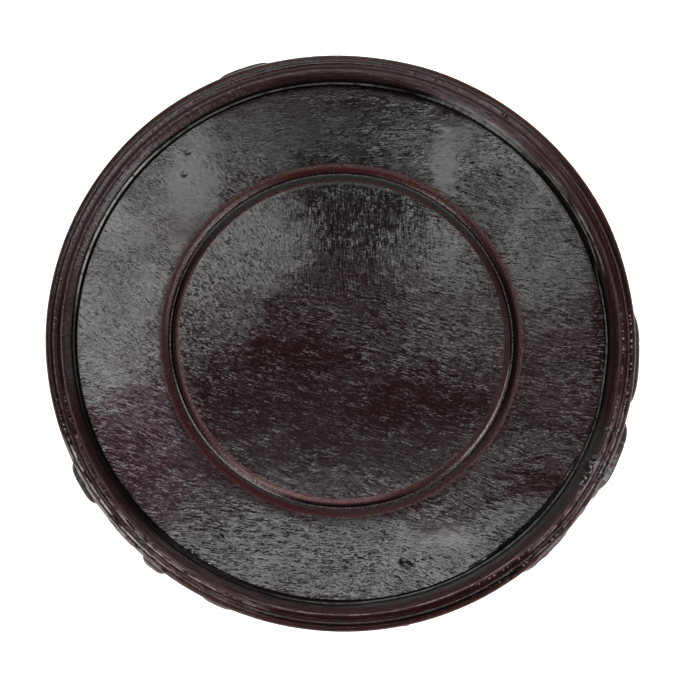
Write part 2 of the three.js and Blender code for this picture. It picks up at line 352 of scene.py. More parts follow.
def panel_material():
    m, t, b = new_material("panel_lacquer")
    # Fibres of the board: long and thin, bent a little by a slow wander.
    wander = noise_tex(t, place(t), scale=0.045, detail=1.0)
    base = place(t)
    shift = t.nodes.new("ShaderNodeVectorMath")
    shift.operation = "MULTIPLY_ADD"
    t.links.new(wander.outputs["Color"], shift.inputs[0])
    shift.inputs[1].default_value = (4.0, 6.0, 0.0)
    t.links.new(base, shift.inputs[2])

    def stretched(vec, scale, angle=0.0, loc=(0, 0, 0)):
        mp = t.nodes.new("ShaderNodeMapping")
        mp.inputs["Location"].default_value = loc
        mp.inputs["Rotation"].default_value = (0, 0, angle)
        mp.inputs["Scale"].default_value = scale
        t.links.new(vec, mp.inputs[0])
        return mp.outputs[0]

    def fibres(scale, angle, loc=(0, 0, 0)):
        turned = stretched(shift.outputs[0], (1, 1, 1), angle, loc)
        return noise_tex(t, stretched(turned, scale), scale=1.0, detail=2.0, rough=0.6).outputs[0]

    across = fibres((0.46, 3.1, 1), 0.30)
    level_ = fibres((0.46, 3.1, 1), 0.10, (5, 2, 0))
    rising = fibres((0.50, 3.1, 1), -0.16, (2, 8, 0))
    upright = fibres((3.0, 0.42, 1), 0.0, (3, 1, 0))
    slant = fibres((0.95, 2.9, 1), 0.70, (1, 5, 0))
    top_disc = spot(t, (-4, 27), (32, 16), 0.5)
    fine = noise_tex(t, stretched(base, (1.35, 3.5, 1), 0.20), scale=1.0, detail=1.0, rough=0.6).outputs[0]
    fine = mix_colour(t, math_node(t, "MULTIPLY", top_disc, 0.5), fine, noise_tex(t, stretched(base, (3.4, 1.1, 1), 0.0, (4, 2, 0)), scale=1.0, detail=1.0, rough=0.6).outputs[0])
    upper_left = spot(t, (-45, 26), (30, 34), 0.4)
    flat_part = math_node(t, "MAXIMUM", spot(t, (58, 2), (22, 40), 0.45), spot(t, (-26, -54), (40, 16), 0.4))
    h = mix_colour(t, flat_part, across, level_)
    h = mix_colour(t, spot(t, (6, 58), (42, 16), 0.4), h, rising)
    h = mix_colour(t, top_disc, h, mix_colour(t, 0.72, h, upright))
    h = mix_colour(t, upper_left, h, slant)
    grain = math_node(t, "ADD", math_node(t, "MULTIPLY", h, 0.55), math_node(t, "MULTIPLY", fine, 0.45))
    # Where the lacquer lies thicker it hides the grain.
    patch = noise_tex(t, place(t, loc=(7, 3, 0)), scale=0.11, detail=3.0, rough=0.6)
    rough_map = ramp(t, patch.outputs[0], [(0.36, (0.45,) * 3), (0.50, (0.85,) * 3), (0.64, (1.25,) * 3)])
    tatter = noise_tex(t, shift.outputs[0], scale=0.35, detail=4.0, rough=0.7)
    ragged = t.nodes.new("ShaderNodeVectorMath")
    ragged.operation = "MULTIPLY_ADD"
    t.links.new(tatter.outputs["Color"], ragged.inputs[0])
    ragged.inputs[1].default_value = (7.0, 7.0, 0.0)
    less = t.nodes.new("ShaderNodeVectorMath")
    less.operation = "ADD"
    less.inputs[1].default_value = (-3.5, -3.5, 0.0)
    t.links.new(base, less.inputs[0])
    t.links.new(less.outputs[0], ragged.inputs[2])
    hidden = None
    for xy, r in SMOOTH:
        sp = spot(t, xy, r, 0.4, ragged.outputs[0])
        hidden = sp if hidden is None else math_node(t, "MAXIMUM", hidden, sp)
    rough_map = math_node(t, "MULTIPLY", rough_map, math_node(t, "MULTIPLY_ADD", hidden, -0.8, 1.0))

    height = math_node(t, "MULTIPLY", grain, rough_map)
    bump = t.nodes.new("ShaderNodeBump")
    bump.inputs["Strength"].default_value = 1.0
    bump.inputs["Distance"].default_value = 0.000075
    t.links.new(height, bump.inputs["Height"])

    # Gloss by zone, its borders drawn out along the fibres; within it the lacquer stands
    # on the fibres in flecks and is sunk between them.
    drift = noise_tex(t, stretched(shift.outputs[0], (0.10, 0.24, 1), 0.2), scale=1.0, detail=4.0, rough=0.65)
    moved = t.nodes.new("ShaderNodeVectorMath")
    moved.operation = "MULTIPLY_ADD"
    t.links.new(drift.outputs["Color"], moved.inputs[0])
    moved.inputs[1].default_value = (26.0, 22.0, 0.0)
    centred = t.nodes.new("ShaderNodeVectorMath")
    centred.operation = "ADD"
    centred.inputs[1].default_value = (-13.0, -11.0, 0.0)
    t.links.new(base, moved.inputs[2])
    t.links.new(moved.outputs[0], centred.inputs[0])
    zone = None
    for xy, r, strength in GLOSSY:
        sp = math_node(t, "MULTIPLY", spot(t, xy, r, 0.55, centred.outputs[0]), strength)
        zone = sp if zone is None else math_node(t, "MAXIMUM", zone, sp)
    zone = math_node(t, "MAXIMUM", zone, 0.12)
    torn = noise_tex(t, stretched(shift.outputs[0], (0.16, 0.75, 1), 0.3), scale=1.0, detail=3.0, rough=0.65)
    drawn = t.nodes.new("ShaderNodeVectorMath")
    drawn.operation = "MULTIPLY_ADD"
    t.links.new(torn.outputs["Color"], drawn.inputs[0])
    drawn.inputs[1].default_value = (26.0, 9.0, 0.0)
    back = t.nodes.new("ShaderNodeVectorMath")
    back.operation = "ADD"
    back.inputs[1].default_value = (-13.0, -4.5, 0.0)
    t.links.new(centred.outputs[0], back.inputs[0])
    t.links.new(back.outputs[0], drawn.inputs[2])
    dull = None
    for xy, r, strength in DULL:
        sp = math_node(t, "MULTIPLY", spot(t, xy, r, 0.75, drawn.outputs[0]), strength)
        dull = sp if dull is None else math_node(t, "MAXIMUM", dull, sp)
    zone = math_node(t, "SUBTRACT", zone, dull)
    # How much stands up: the grain moves the gloss up and down about the level of its zone.
    uneven = largest(t, [spot(t, xy, r_, 0.5, centred.outputs[0]) for xy, r_ in ROUGHEST])
    swing = math_node(t, "MULTIPLY_ADD", uneven, 0.40, 1.0)
    swing = math_node(t, "MULTIPLY", swing, math_node(t, "MULTIPLY_ADD", spot(t, (-22, 57), (28, 9), 0.4), -0.50, 1.0))
    swing = math_node(t, "MULTIPLY", swing, math_node(t, "MULTIPLY_ADD", spot(t, (4, -30), (40, 17), 0.5), -0.26, 1.0))
    swing = math_node(t, "MULTIPLY", swing, math_node(t, "MULTIPLY_ADD", spot(t, (22, -56), (40, 13), 0.5), 0.22, 1.0))
    swing = math_node(t, "MULTIPLY", swing, math_node(t, "MULTIPLY_ADD", spot(t, (-57, 26), (15, 32), 0.5), -0.48, 1.0))
    swing = math_node(t, "MULTIPLY", swing, math_node(t, "MULTIPLY_ADD", hidden, -0.75, 1.0))
    blotch = noise_tex(t, stretched(shift.outputs[0], (0.22, 0.40, 1), 0.3), scale=1.0, detail=3.0, rough=0.6).outputs[0]
    swing = math_node(t, "MULTIPLY", swing, ramp(t, blotch, [(0.38, (0.42,) * 3), (0.50, (0.80,) * 3), (0.62, (1.20,) * 3)]))
    stand = math_node(t, "ADD", math_node(t, "MULTIPLY_ADD", h, 2.8, -1.40), math_node(t, "MULTIPLY_ADD", fine, 1.9, -0.95))
    # Where it is glossy the pores show as dark specks, elsewhere single fibres catch the light.
    above = math_node(t, "MULTIPLY", math_node(t, "MAXIMUM", stand, 0.0), math_node(t, "MULTIPLY_ADD", zone, -0.62, 1.15))
    below = math_node(t, "MULTIPLY", math_node(t, "MINIMUM", stand, 0.0), math_node(t, "MULTIPLY_ADD", zone, 0.10, 0.92))
    stand = math_node(t, "ADD", above, below)
    level = math_node(t, "MULTIPLY_ADD", zone, 0.68, 0.295)
    level = math_node(t, "SUBTRACT", level, math_node(t, "MULTIPLY", dull, 1.15))
    fleck = math_node(t, "MULTIPLY_ADD", stand, swing, level, clamp=True)
    filled = largest(t, [spot(t, (0, -28), (44, 18), 0.5), spot(t, (-48, -34), (20, 20), 0.5), math_node(t, "MULTIPLY", spot(t, (50, 0), (20, 30), 0.5), 0.6)])
    filled = math_node(t, "MULTIPLY", filled, math_node(t, "MULTIPLY_ADD", dull, -5.0, 1.0, clamp=True))
    coat = math_node(t, "POWER", math_node(t, "MAXIMUM", fleck, math_node(t, "MULTIPLY_ADD", filled, 0.24, 0.06)), 2.2)
    sunk = math_node(t, "SUBTRACT", 1.0, math_node(t, "MULTIPLY", fleck, 1.4, clamp=True))
    # The edge along the gap is nibbled away in short teeth, more at lower left.
    r = radius_of(t)
    teeth = radial_noise(t, 0.95, 0.45, 2.0, 0.7)
    bitten = spot(t, (-50, -44), (34, 40), 0.3)
    limit = math_node(t, "MULTIPLY_ADD", bitten, -0.55, 66.8)
    limit = math_node(t, "MULTIPLY_ADD", sector(t, 138, 32, 14), 0.65, math_node(t, "ADD", limit, 0.65))
    limit = math_node(t, "MULTIPLY_ADD", sector(t, 90, 22, 12), -0.75, limit)
    limit = math_node(t, "MULTIPLY_ADD", sector(t, 316, 9, 7), -1.55, limit)
    deep = math_node(t, "MULTIPLY_ADD", bitten, 3.2, 1.8)
    reach = math_node(t, "MULTIPLY_ADD", math_node(t, "ADD", teeth, -0.5), deep, r)
    edge = between(t, math_node(t, "SUBTRACT", reach, limit), 0.0, 0.3)
    coat = math_node(t, "MULTIPLY", coat, math_node(t, "SUBTRACT", 1.0, edge))
    coat = math_node(t, "MULTIPLY", coat, math_node(t, "MULTIPLY_ADD", math_node(t, "MULTIPLY", sector(t, 44, 9, 9), between(t, r, 64.4, 65.6)), 0.65, 1.0), clamp=True)
    coat = math_node(t, "MULTIPLY", coat, math_node(t, "MULTIPLY_ADD", math_node(t, "MULTIPLY", sector(t, 315, 8, 7), between(t, r, 62.8, 63.8)), -0.34, 1.0))
    # A duller ring beside the turned ring, and a rubbed one inside it at the back.
    beside = math_node(t, "MULTIPLY", between(t, r, 46.0, 46.2), between(t, r, 47.2, 46.5))
    wide = math_node(t, "MULTIPLY", math_node(t, "MULTIPLY", between(t, r, 46.0, 46.2), between(t, r, 49.4, 46.9)), sector(t, 262, 34, 24))
    ring = largest(t, [math_node(t, "MULTIPLY", beside, 0.32), math_node(t, "MULTIPLY", wide, 0.62)])
    coat = math_node(t, "MULTIPLY", coat, math_node(t, "SUBTRACT", 1.0, ring))
    rubbed = math_node(t, "MULTIPLY", math_node(t, "MULTIPLY", between(t, r, 40.4, 40.9), between(t, r, 42.0, 41.8)), sector(t, 94, 20, 10))
    coat = math_node(t, "MULTIPLY_ADD", rubbed, 0.24, coat)
    # Ends of the fibres raised along the right-hand edge.
    comb = radial_noise(t, 1.7, 0.5, 2.0, 0.7, 3.0)
    comb = math_node(t, "MULTIPLY_ADD", comb, 9.0, -4.7, clamp=True)
    where = math_node(t, "MULTIPLY", spot(t, (66, 1), (6.5, 16), 0.6), between(t, math_node(t, "MULTIPLY_ADD", teeth, 4.0, r), 65.4, 67.0))
    coat = mix_colour(t, where, coat, math_node(t, "MULTIPLY", comb, 1.0))

    # Colour: dark body with maroon clouds along the grain.
    cloud = noise_tex(t, stretched(shift.outputs[0], (0.035, 0.10, 1), 0.2), scale=1.0, detail=3.0, rough=0.6)
    tint = ramp(t, cloud.outputs[0], [(0.42, DARK), (0.58, (0.0132, 0.0036, 0.0039)), (0.74, MAROON)])
    tint = mix_colour(t, math_node(t, "MULTIPLY", dull, 4.5, clamp=True), tint, (0.0175, 0.0034, 0.0037))
    redder = math_node(t, "MULTIPLY", spot(t, (-55, -30), (16, 20), 0.6, drawn.outputs[0]), 0.8)
    tint = mix_colour(t, redder, tint, (0.0265, 0.0044, 0.0062))
    tint = mix_colour(t, math_node(t, "MULTIPLY", sunk, 0.8), tint, mix_colour(t, redder, (0.0085, 0.0022, 0.0024), (0.0170, 0.0026, 0.0034)))
    tint = mix_colour(t, math_node(t, "MULTIPLY_ADD", zone, 2.0, -0.9, clamp=True), tint, (0.0062, 0.0040, 0.0046))
    tint = mix_colour(t, math_node(t, "MULTIPLY", spot(t, (6, 46), (30, 26), 0.6, drawn.outputs[0]), 0.75), tint, (0.0056, 0.0036, 0.0037))
    tint = mix_colour(t, edge, tint, (0.0020, 0.0016, 0.0016))
    t.links.new(tint, b.inputs["Base Color"])
    b.inputs["Roughness"].default_value = 0.38
    b.inputs["Specular IOR Level"].default_value = 0.03
    t.links.new(coat, b.inputs["Coat Weight"])
    b.inputs["Coat Roughness"].default_value = 0.08
    b.inputs["Coat IOR"].default_value = 1.6
    t.links.new(bump.outputs[0], b.inputs["Normal"])
    t.links.new(bump.outputs[0], b.inputs["Coat Normal"])
    return m


def turned_material(name, tint_low, tint_high, rough=0.3, coat=0.9, coat_rough=0.16, bump_mm=0.02, patchy=0.0):
    """Lacquer on a turned or carved face: redder where it is worn thin."""
    m, t, b = new_material(name)
    base = place(t)
    cloud = noise_tex(t, base, scale=0.22, detail=3.0, rough=0.6)
    tint = ramp(t, cloud.outputs[0], [(0.38, tint_low), (0.62, tint_high)])
    if patchy:
        # A painted highlight: a pale patch on the carved lump at front left.
        pale = math_node(t, "MULTIPLY", spot(t, (-48.2, -58.6), (4.2, 4.2), 0.5), between(t, height_of(t), 42.5, 44.0))
        tint = mix_colour(t, pale, tint, (0.12, 0.090, 0.084))
    t.links.new(tint, b.inputs["Base Color"])
    fine = noise_tex(t, base, scale=1.8, detail=3.0, rough=0.62)
    wave = noise_tex(t, base, scale=0.5, detail=1.0, rough=0.5)
    h = math_node(t, "ADD", math_node(t, "MULTIPLY", fine.outputs[0], 0.5), math_node(t, "MULTIPLY", wave.outputs[0], 1.0))
    bump = t.nodes.new("ShaderNodeBump")
    bump.inputs["Strength"].default_value = 1.0
    bump.inputs["Distance"].default_value = bump_mm * MM
    t.links.new(h, bump.inputs["Height"])
    t.links.new(bump.outputs[0], b.inputs["Normal"])
    t.links.new(bump.outputs[0], b.inputs["Coat Normal"])
    b.inputs["Roughness"].default_value = rough
    b.inputs["Specular IOR Level"].default_value = 0.2
    if patchy:
        # the crests of the carving near the rim are rubbed; one block at right kept its gloss
        rubbed = math_node(t, "MULTIPLY_ADD", fine.outputs[0], 5.0, -2.2, clamp=True)
        kept = math_node(t, "MAXIMUM", spot(t, (68.3, -34.5), (8.0, 8.0), 0.3), between(t, height_of(t), 41.0, 37.0))
        rubbed = math_node(t, "MAXIMUM", math_node(t, "MULTIPLY", rubbed, 0.6), math_node(t, "MULTIPLY", kept, coat))
        t.links.new(rubbed, b.inputs["Coat Weight"])
    else:
        b.inputs["Coat Weight"].default_value = coat
    b.inputs["Coat Roughness"].default_value = coat_rough
    b.inputs["Coat IOR"].default_value = 1.5
    return m


def rim_material():
    """The moulding: black in the gap, red in the hollows and warm brown on the outer bead."""
    m, t, b = new_material("rim_lacquer")
    base = place(t)
    r = radius_of(t)
    z = height_of(t)
    wobble = noise_tex(t, base, scale=0.8, detail=2.0, rough=0.6).outputs[0]
    at = between(t, math_node(t, "ADD", r, math_node(t, "MULTIPLY_ADD", wobble, 0.5, -0.25)), 67.0, 75.0)

    def stop(radius, colour):
        return ((radius - 67.0) / 8.0, colour)

    tint = ramp(t, at, [
        stop(67.0, (0.0034, 0.0026, 0.0026)), stop(68.3, (0.0050, 0.0036, 0.0036)), stop(68.9, (0.008, 0.0038, 0.0038)),
        stop(69.6, (0.014, 0.0044, 0.0044)), stop(70.5, (0.010, 0.0040, 0.0040)), stop(71.3, (0.015, 0.0044, 0.0046)),
        stop(72.3, (0.020, 0.0050, 0.0052)), stop(72.8, (0.010, 0.0038, 0.0038)), stop(73.5, (0.004, 0.0026, 0.0026)),
        stop(74.0, (0.018, 0.0070, 0.0046)), stop(75.0, (0.034, 0.0116, 0.0070))])
    cloud = noise_tex(t, base, scale=0.16, detail=3.0, rough=0.65).outputs[0]
    tint = mix_colour(t, ramp(t, cloud, [(0.42, (0, 0, 0)), (0.62, (0.5,) * 3)]), tint, (0.005, 0.0032, 0.0030))
    # Sides where the lacquer kept its skin and looks grey, and sides where it is worn red or dirty.
    inner = between(t, r, 70.5, 70.1)
    skin = largest(t, [sector(t, 108, 52, 22), math_node(t, "MULTIPLY", sector(t, 240, 12, 10), inner), sector(t, 183, 6, 8)])
    rows = largest(t, [sector(t, 228, 24, 4), sector(t, 330, 16, 4)])
    dotted = largest(t, [sector(t, 205, 10, 4), sector(t, 309, 9, 4), sector(t, 353, 12, 4)])
    shade = largest(t, [sector(t, 88, 9, 12), sector(t, 211, 13, 9), sector(t, 2, 14, 12)])
    shade = math_node(t, "MULTIPLY", shade, inner)
    # Knocked places: dark broken lacquer with pale specks painted in as glints.
    knocked = largest(t, [spot(t, xy, r_, 0.35) for xy, r_ in (((64.3, -32.6), (3.6, 2.9)), ((62.2, -36.6), (2.4, 1.8)), ((68.2, -23.2), (1.4, 1.0)),
                                                             ((-50.2, -53.6), (2.5, 2.1)), ((60.6, -39.6), (1.2, 0.9)))])
    crumb_glints = noise_tex(t, base, scale=1.25, detail=3.0, rough=0.7).outputs[0]
    tint = mix_colour(t, knocked, tint, ramp(t, crumb_glints, [(0.51, (0.002, 0.0018, 0.0018)), (0.57, (0.27, 0.25, 0.245))]))
    # Pale specks along the quirk and below the crest, painted in as glints, and thin painted highlight lines along the
    # beads.
    glint_specks = radial_noise(t, 1.35, 0.5, 3.0, 0.75, 2.0)
    glint_specks = math_node(t, "MULTIPLY_ADD", glint_specks, 11.0, -5.9, clamp=True)
    band_a = math_node(t, "MULTIPLY", between(t, r, 73.42, 73.55), between(t, r, 74.0, 73.85))
    band_b = math_node(t, "MULTIPLY", between(t, r, 71.3, 71.45), between(t, r, 71.95, 71.8))
    tint = mix_colour(t, math_node(t, "MULTIPLY", math_node(t, "MULTIPLY", glint_specks, band_a), dotted), tint, (0.42, 0.40, 0.39))
    tint = mix_colour(t, math_node(t, "MULTIPLY", math_node(t, "MULTIPLY", glint_specks, band_b), dotted), tint, (0.34, 0.215, 0.205))
    ringwise = radial_noise(t, 0.20, 2.9, 3.0, 0.65, 9.0)
    dashes = radial_noise(t, 0.30, 1.6, 3.0, 0.7, 9.0)
    lines = ramp(t, between(t, math_node(t, "MULTIPLY_ADD", ringwise, 0.3, math_node(t, "ADD", r, -0.15)), 67.0, 75.0), [
        stop(71.36, (0,) * 3), stop(71.50, (0.4,) * 3), stop(71.72, (0.4,) * 3), stop(71.85, (0.12,) * 3), stop(71.94, (1,) * 3), stop(72.16, (1,) * 3), stop(72.26, (0.05,) * 3),
        stop(72.75, (0.15,) * 3), stop(72.90, (0.4,) * 3), stop(73.05, (0.05,) * 3), stop(73.44, (0.05,) * 3), stop(73.54, (1,) * 3),
        stop(73.84, (1,) * 3), stop(73.96, (0.1,) * 3), stop(74.40, (0.05,) * 3), stop(74.55, (0.7,) * 3), stop(74.80, (0.4,) * 3)])
    # Painted highlight lines along the beads in the two rows facing the side lamps, broken into dashes.
    broken = math_node(t, "MULTIPLY_ADD", dashes, 7.5, -3.1, clamp=True)
    worn = math_node(t, "MULTIPLY", math_node(t, "MULTIPLY", lines, broken), rows)
    fading = math_node(t, "MULTIPLY", largest(t, [sector(t, 247, 9, 7), math_node(t, "MULTIPLY", sector(t, 338, 12, 6), 0.5)]), between(t, r, 72.9, 73.3))
    worn = math_node(t, "MULTIPLY", worn, math_node(t, "MULTIPLY_ADD", fading, -0.8, 1.0))
    # Painted shade between the highlight lines, just outside the crest.
    between_lines = math_node(t, "MULTIPLY", math_node(t, "MULTIPLY", math_node(t, "SUBTRACT", 1.0, lines), rows), between(t, r, 71.3, 71.7))
    tint = mix_colour(t, math_node(t, "MULTIPLY", between_lines, 0.85), tint, (0.0050, 0.0030, 0.0030))
    worn = math_node(t, "MULTIPLY", worn, math_node(t, "MULTIPLY_ADD", math_node(t, "MULTIPLY", sector(t, 208, 8, 5), between(t, r, 73.2, 72.9)), -0.45, 0.88))
    # Painted highlight: the lines are lightened to pale pink-grey near the crest, paler still on the outer beads.
    tint = mix_colour(t, worn, tint, mix_colour(t, between(t, r, 72.9, 73.3), mix_colour(t, sector(t, 226, 8, 6), (0.30, 0.235, 0.23), (0.52, 0.43, 0.42)), mix_colour(t, sector(t, 209, 14, 8), (0.34, 0.295, 0.29), (0.62, 0.57, 0.56))))
    # Painted highlight in broken pale dashes on the crest in front, and a lighter painted sheen in the hollow behind.
    crest_glints = math_node(t, "MULTIPLY", between(t, r, 70.80, 70.92), between(t, r, 71.22, 71.08))
    crest_glints = math_node(t, "MULTIPLY", crest_glints, math_node(t, "MULTIPLY", sector(t, 283, 22, 6), math_node(t, "MULTIPLY_ADD", dashes, 9.0, -4.3, clamp=True)))
    tint = mix_colour(t, crest_glints, tint, (0.15, 0.11, 0.105))
    hollow_sheen = math_node(t, "MULTIPLY", math_node(t, "MULTIPLY", between(t, r, 71.2, 71.5), between(t, r, 72.6, 72.3)), sector(t, 102, 60, 14))
    tint = mix_colour(t, math_node(t, "MULTIPLY", hollow_sheen, 0.8), tint, (0.046, 0.031, 0.031))
    # Painted highlight streaks, pale grey, on the lower inner slope at right towards the back.
    highlight_streaks = math_node(t, "MULTIPLY", math_node(t, "MULTIPLY", between(t, r, 68.9, 69.05), between(t, r, 69.75, 69.55)), sector(t, 28, 9, 6))
    highlight_streaks = math_node(t, "MULTIPLY", highlight_streaks, math_node(t, "MULTIPLY_ADD", ringwise, 9.0, -4.2, clamp=True))
    tint = mix_colour(t, highlight_streaks, tint, (0.16, 0.135, 0.13))
    # Lower part of the inner slope in front at right: grey, not red.
    grey = largest(t, [math_node(t, "MULTIPLY", sector(t, 329, 9, 8), between(t, r, 71.1, 70.0)),
                       math_node(t, "MULTIPLY", sector(t, 300, 24, 12), between(t, r, 69.5, 68.9))])
    tint = mix_colour(t, math_node(t, "MULTIPLY", grey, 0.8), tint, (0.0135, 0.0122, 0.0118))
    # Painted highlight: a pale smear on the inner slope at right towards the back, where the left soft box glints.
    smear_highlight = math_node(t, "MULTIPLY", math_node(t, "MULTIPLY", sector(t, 55, 8, 5), between(t, r, 69.6, 69.3)),
                      math_node(t, "MULTIPLY", between(t, z, 46.0, 46.1), between(t, z, 47.4, 47.2)))
    smear_highlight = math_node(t, "MULTIPLY", smear_highlight, math_node(t, "MULTIPLY_ADD", ringwise, 3.0, -0.8, clamp=True))
    tint = mix_colour(t, smear_highlight, tint, (0.105, 0.100, 0.096))
    t.links.new(tint, b.inputs["Base Color"])

    radial = radial_noise(t, 1.7, 0.5, 3.0, 0.65)
    grain = mix_colour(t, largest(t, [sector(t, 145, 38, 12)]), ringwise, radial)
    fine = noise_tex(t, base, scale=2.9, detail=2.0, rough=0.6).outputs[0]
    lumps_ = noise_tex(t, base, scale=0.95, detail=2.0, rough=0.55).outputs[0]
    outer_part = between(t, r, 71.0, 71.5)
    coarse = math_node(t, "MULTIPLY", lumps_, math_node(t, "MULTIPLY_ADD", outer_part, 2.2, 0.4))
    h = math_node(t, "ADD", math_node(t, "MULTIPLY", grain, 0.8), math_node(t, "MULTIPLY", fine, 0.5))
    h = math_node(t, "ADD", h, coarse)
    bump = t.nodes.new("ShaderNodeBump")
    bump.inputs["Strength"].default_value = 1.0
    bump.inputs["Distance"].default_value = 0.00008
    t.links.new(h, bump.inputs["Height"])
    # Gloss: a level by place, moved up and down by the streaks.
    level = math_node(t, "MULTIPLY_ADD", skin, math_node(t, "MULTIPLY_ADD", inner, 0.06, 0.22), 0.36)
    bright = math_node(t, "MULTIPLY", inner, largest(t, [sector(t, 152, 9, 12), math_node(t, "MULTIPLY", sector(t, 44, 22, 12), 0.43)]))
    level = math_node(t, "MULTIPLY_ADD", bright, 0.42, level)
    crest = math_node(t, "MULTIPLY", between(t, r, 70.5, 70.9), between(t, r, 71.5, 71.1))
    level = math_node(t, "MULTIPLY_ADD", crest, math_node(t, "MULTIPLY_ADD", sector(t, 282, 26, 10), 0.22, 0.12), level)
    level = math_node(t, "MULTIPLY_ADD", math_node(t, "MULTIPLY", between(t, r, 72.3, 72.9), between(t, r, 73.8, 73.6)), math_node(t, "MULTIPLY_ADD", sector(t, 60, 16, 10), -0.16, 0.42), level)
    level = math_node(t, "MULTIPLY_ADD", math_node(t, "MULTIPLY", inner, sector(t, 183, 7, 8)), 0.12, level)
    level = math_node(t, "MULTIPLY_ADD", math_node(t, "MULTIPLY", inner, sector(t, 284, 24, 10)), 0.06, level)
    level = math_node(t, "MULTIPLY_ADD", between(t, r, 73.8, 74.2), -0.10, level)
    dirt = math_node(t, "MULTIPLY", sector(t, 299, 12, 8), math_node(t, "MULTIPLY", between(t, r, 71.5, 71.8), between(t, r, 74.4, 74.1)))
    dirt = math_node(t, "MULTIPLY", dirt, math_node(t, "SUBTRACT", 1.0, math_node(t, "MULTIPLY", between(t, r, 72.5, 72.7), between(t, r, 73.3, 73.1))))
    dirt = math_node(t, "MAXIMUM", dirt, math_node(t, "MULTIPLY", sector(t, 24, 14, 10), math_node(t, "MULTIPLY", between(t, r, 73.5, 73.7), between(t, r, 74.4, 74.2))))
    level = math_node(t, "MULTIPLY_ADD", math_node(t, "MULTIPLY", sector(t, 90, 14, 10), between(t, r, 74.1, 74.4)), 0.35, level)
    level = math_node(t, "MULTIPLY_ADD", dirt, -0.25, level)
    level = math_node(t, "MULTIPLY_ADD", between_lines, -0.36, level)
    level = math_node(t, "MULTIPLY_ADD", math_node(t, "MULTIPLY", sector(t, 330, 11, 7), between(t, r, 71.4, 70.9)), -0.34, level)
    level = math_node(t, "MULTIPLY_ADD", math_node(t, "MULTIPLY", shade, between(t, r, 70.4, 68.8)), -0.32, level)
    calm = math_node(t, "MULTIPLY_ADD", math_node(t, "MULTIPLY", skin, outer_part), -0.55, 1.0)
    streak = math_node(t, "ADD", math_node(t, "MULTIPLY_ADD", grain, 1.5, -0.75), math_node(t, "MULTIPLY_ADD", fine, 0.9, -0.45))
    streak = math_node(t, "MULTIPLY", streak, calm)
    coat = math_node(t, "POWER", math_node(t, "MAXIMUM", math_node(t, "ADD", level, streak, clamp=True), 0.03), 2.0)
    # Dark corner inside, with a thin bright fillet that is broken off at lower left; at the back the fillet is also a
    # painted highlight.
    corner = math_node(t, "MULTIPLY", between(t, r, 69.3, 68.9), 1.0)
    lit = largest(t, [sector(t, 52, 16, 6), math_node(t, "MULTIPLY", sector(t, 152, 12, 8), 0.25)])
    level_at = math_node(t, "MULTIPLY_ADD", sector(t, 150, 14, 8), -0.16, z)
    dim = math_node(t, "MULTIPLY", corner, between(t, level_at, 47.25, 46.98))
    dim = math_node(t, "MULTIPLY", dim, math_node(t, "MULTIPLY_ADD", lit, math_node(t, "MULTIPLY", between(t, z, 46.7, 46.9), -0.85), 1.0))
    dim = math_node(t, "MULTIPLY", dim, math_node(t, "MULTIPLY_ADD", sector(t, 62, 75, 20), 0.28, 0.66))
    coat = math_node(t, "MULTIPLY", coat, math_node(t, "SUBTRACT", 1.0, dim))
    whole = math_node(t, "MULTIPLY_ADD", knocked, -0.8, 1.0)
    coat = math_node(t, "MULTIPLY", coat, whole)
    line = math_node(t, "MULTIPLY", between(t, z, 45.80, 45.92), between(t, z, 46.34, 46.2))
    line = math_node(t, "MULTIPLY", line, corner)
    narrow = math_node(t, "MULTIPLY", sector(t, 152, 16, 8), math_node(t, "SUBTRACT", 1.0, between(t, r, 67.74, 67.92)))
    line = math_node(t, "MULTIPLY", line, math_node(t, "SUBTRACT", 1.0, narrow))
    where = largest(t, [sector(t, 58, 8, 8), sector(t, 154, 14, 8), math_node(t, "MULTIPLY", sector(t, 110, 25, 10), 0.65),
                        math_node(t, "MULTIPLY", sector(t, 308, 44, 10), 0.6), math_node(t, "MULTIPLY", sector(t, 2, 10, 6), 0.8)])
    gappy = radial_noise(t, 0.45, 0.1, 3.0, 0.7, 4.0)
    where = math_node(t, "MULTIPLY", where, math_node(t, "MULTIPLY_ADD", gappy, 5.0, -1.6, clamp=True))
    coat = math_node(t, "ADD", coat, math_node(t, "MULTIPLY", line, where), clamp=True)
    higher = math_node(t, "MULTIPLY", math_node(t, "MULTIPLY", between(t, z, 46.28, 46.42), between(t, z, 47.08, 46.9)), sector(t, 43, 20, 8))
    higher = math_node(t, "MULTIPLY", math_node(t, "MULTIPLY", higher, corner), math_node(t, "MULTIPLY_ADD", gappy, 5.0, -1.6, clamp=True))
    coat = math_node(t, "ADD", coat, higher, clamp=True)
    t.links.new(coat, b.inputs["Coat Weight"])
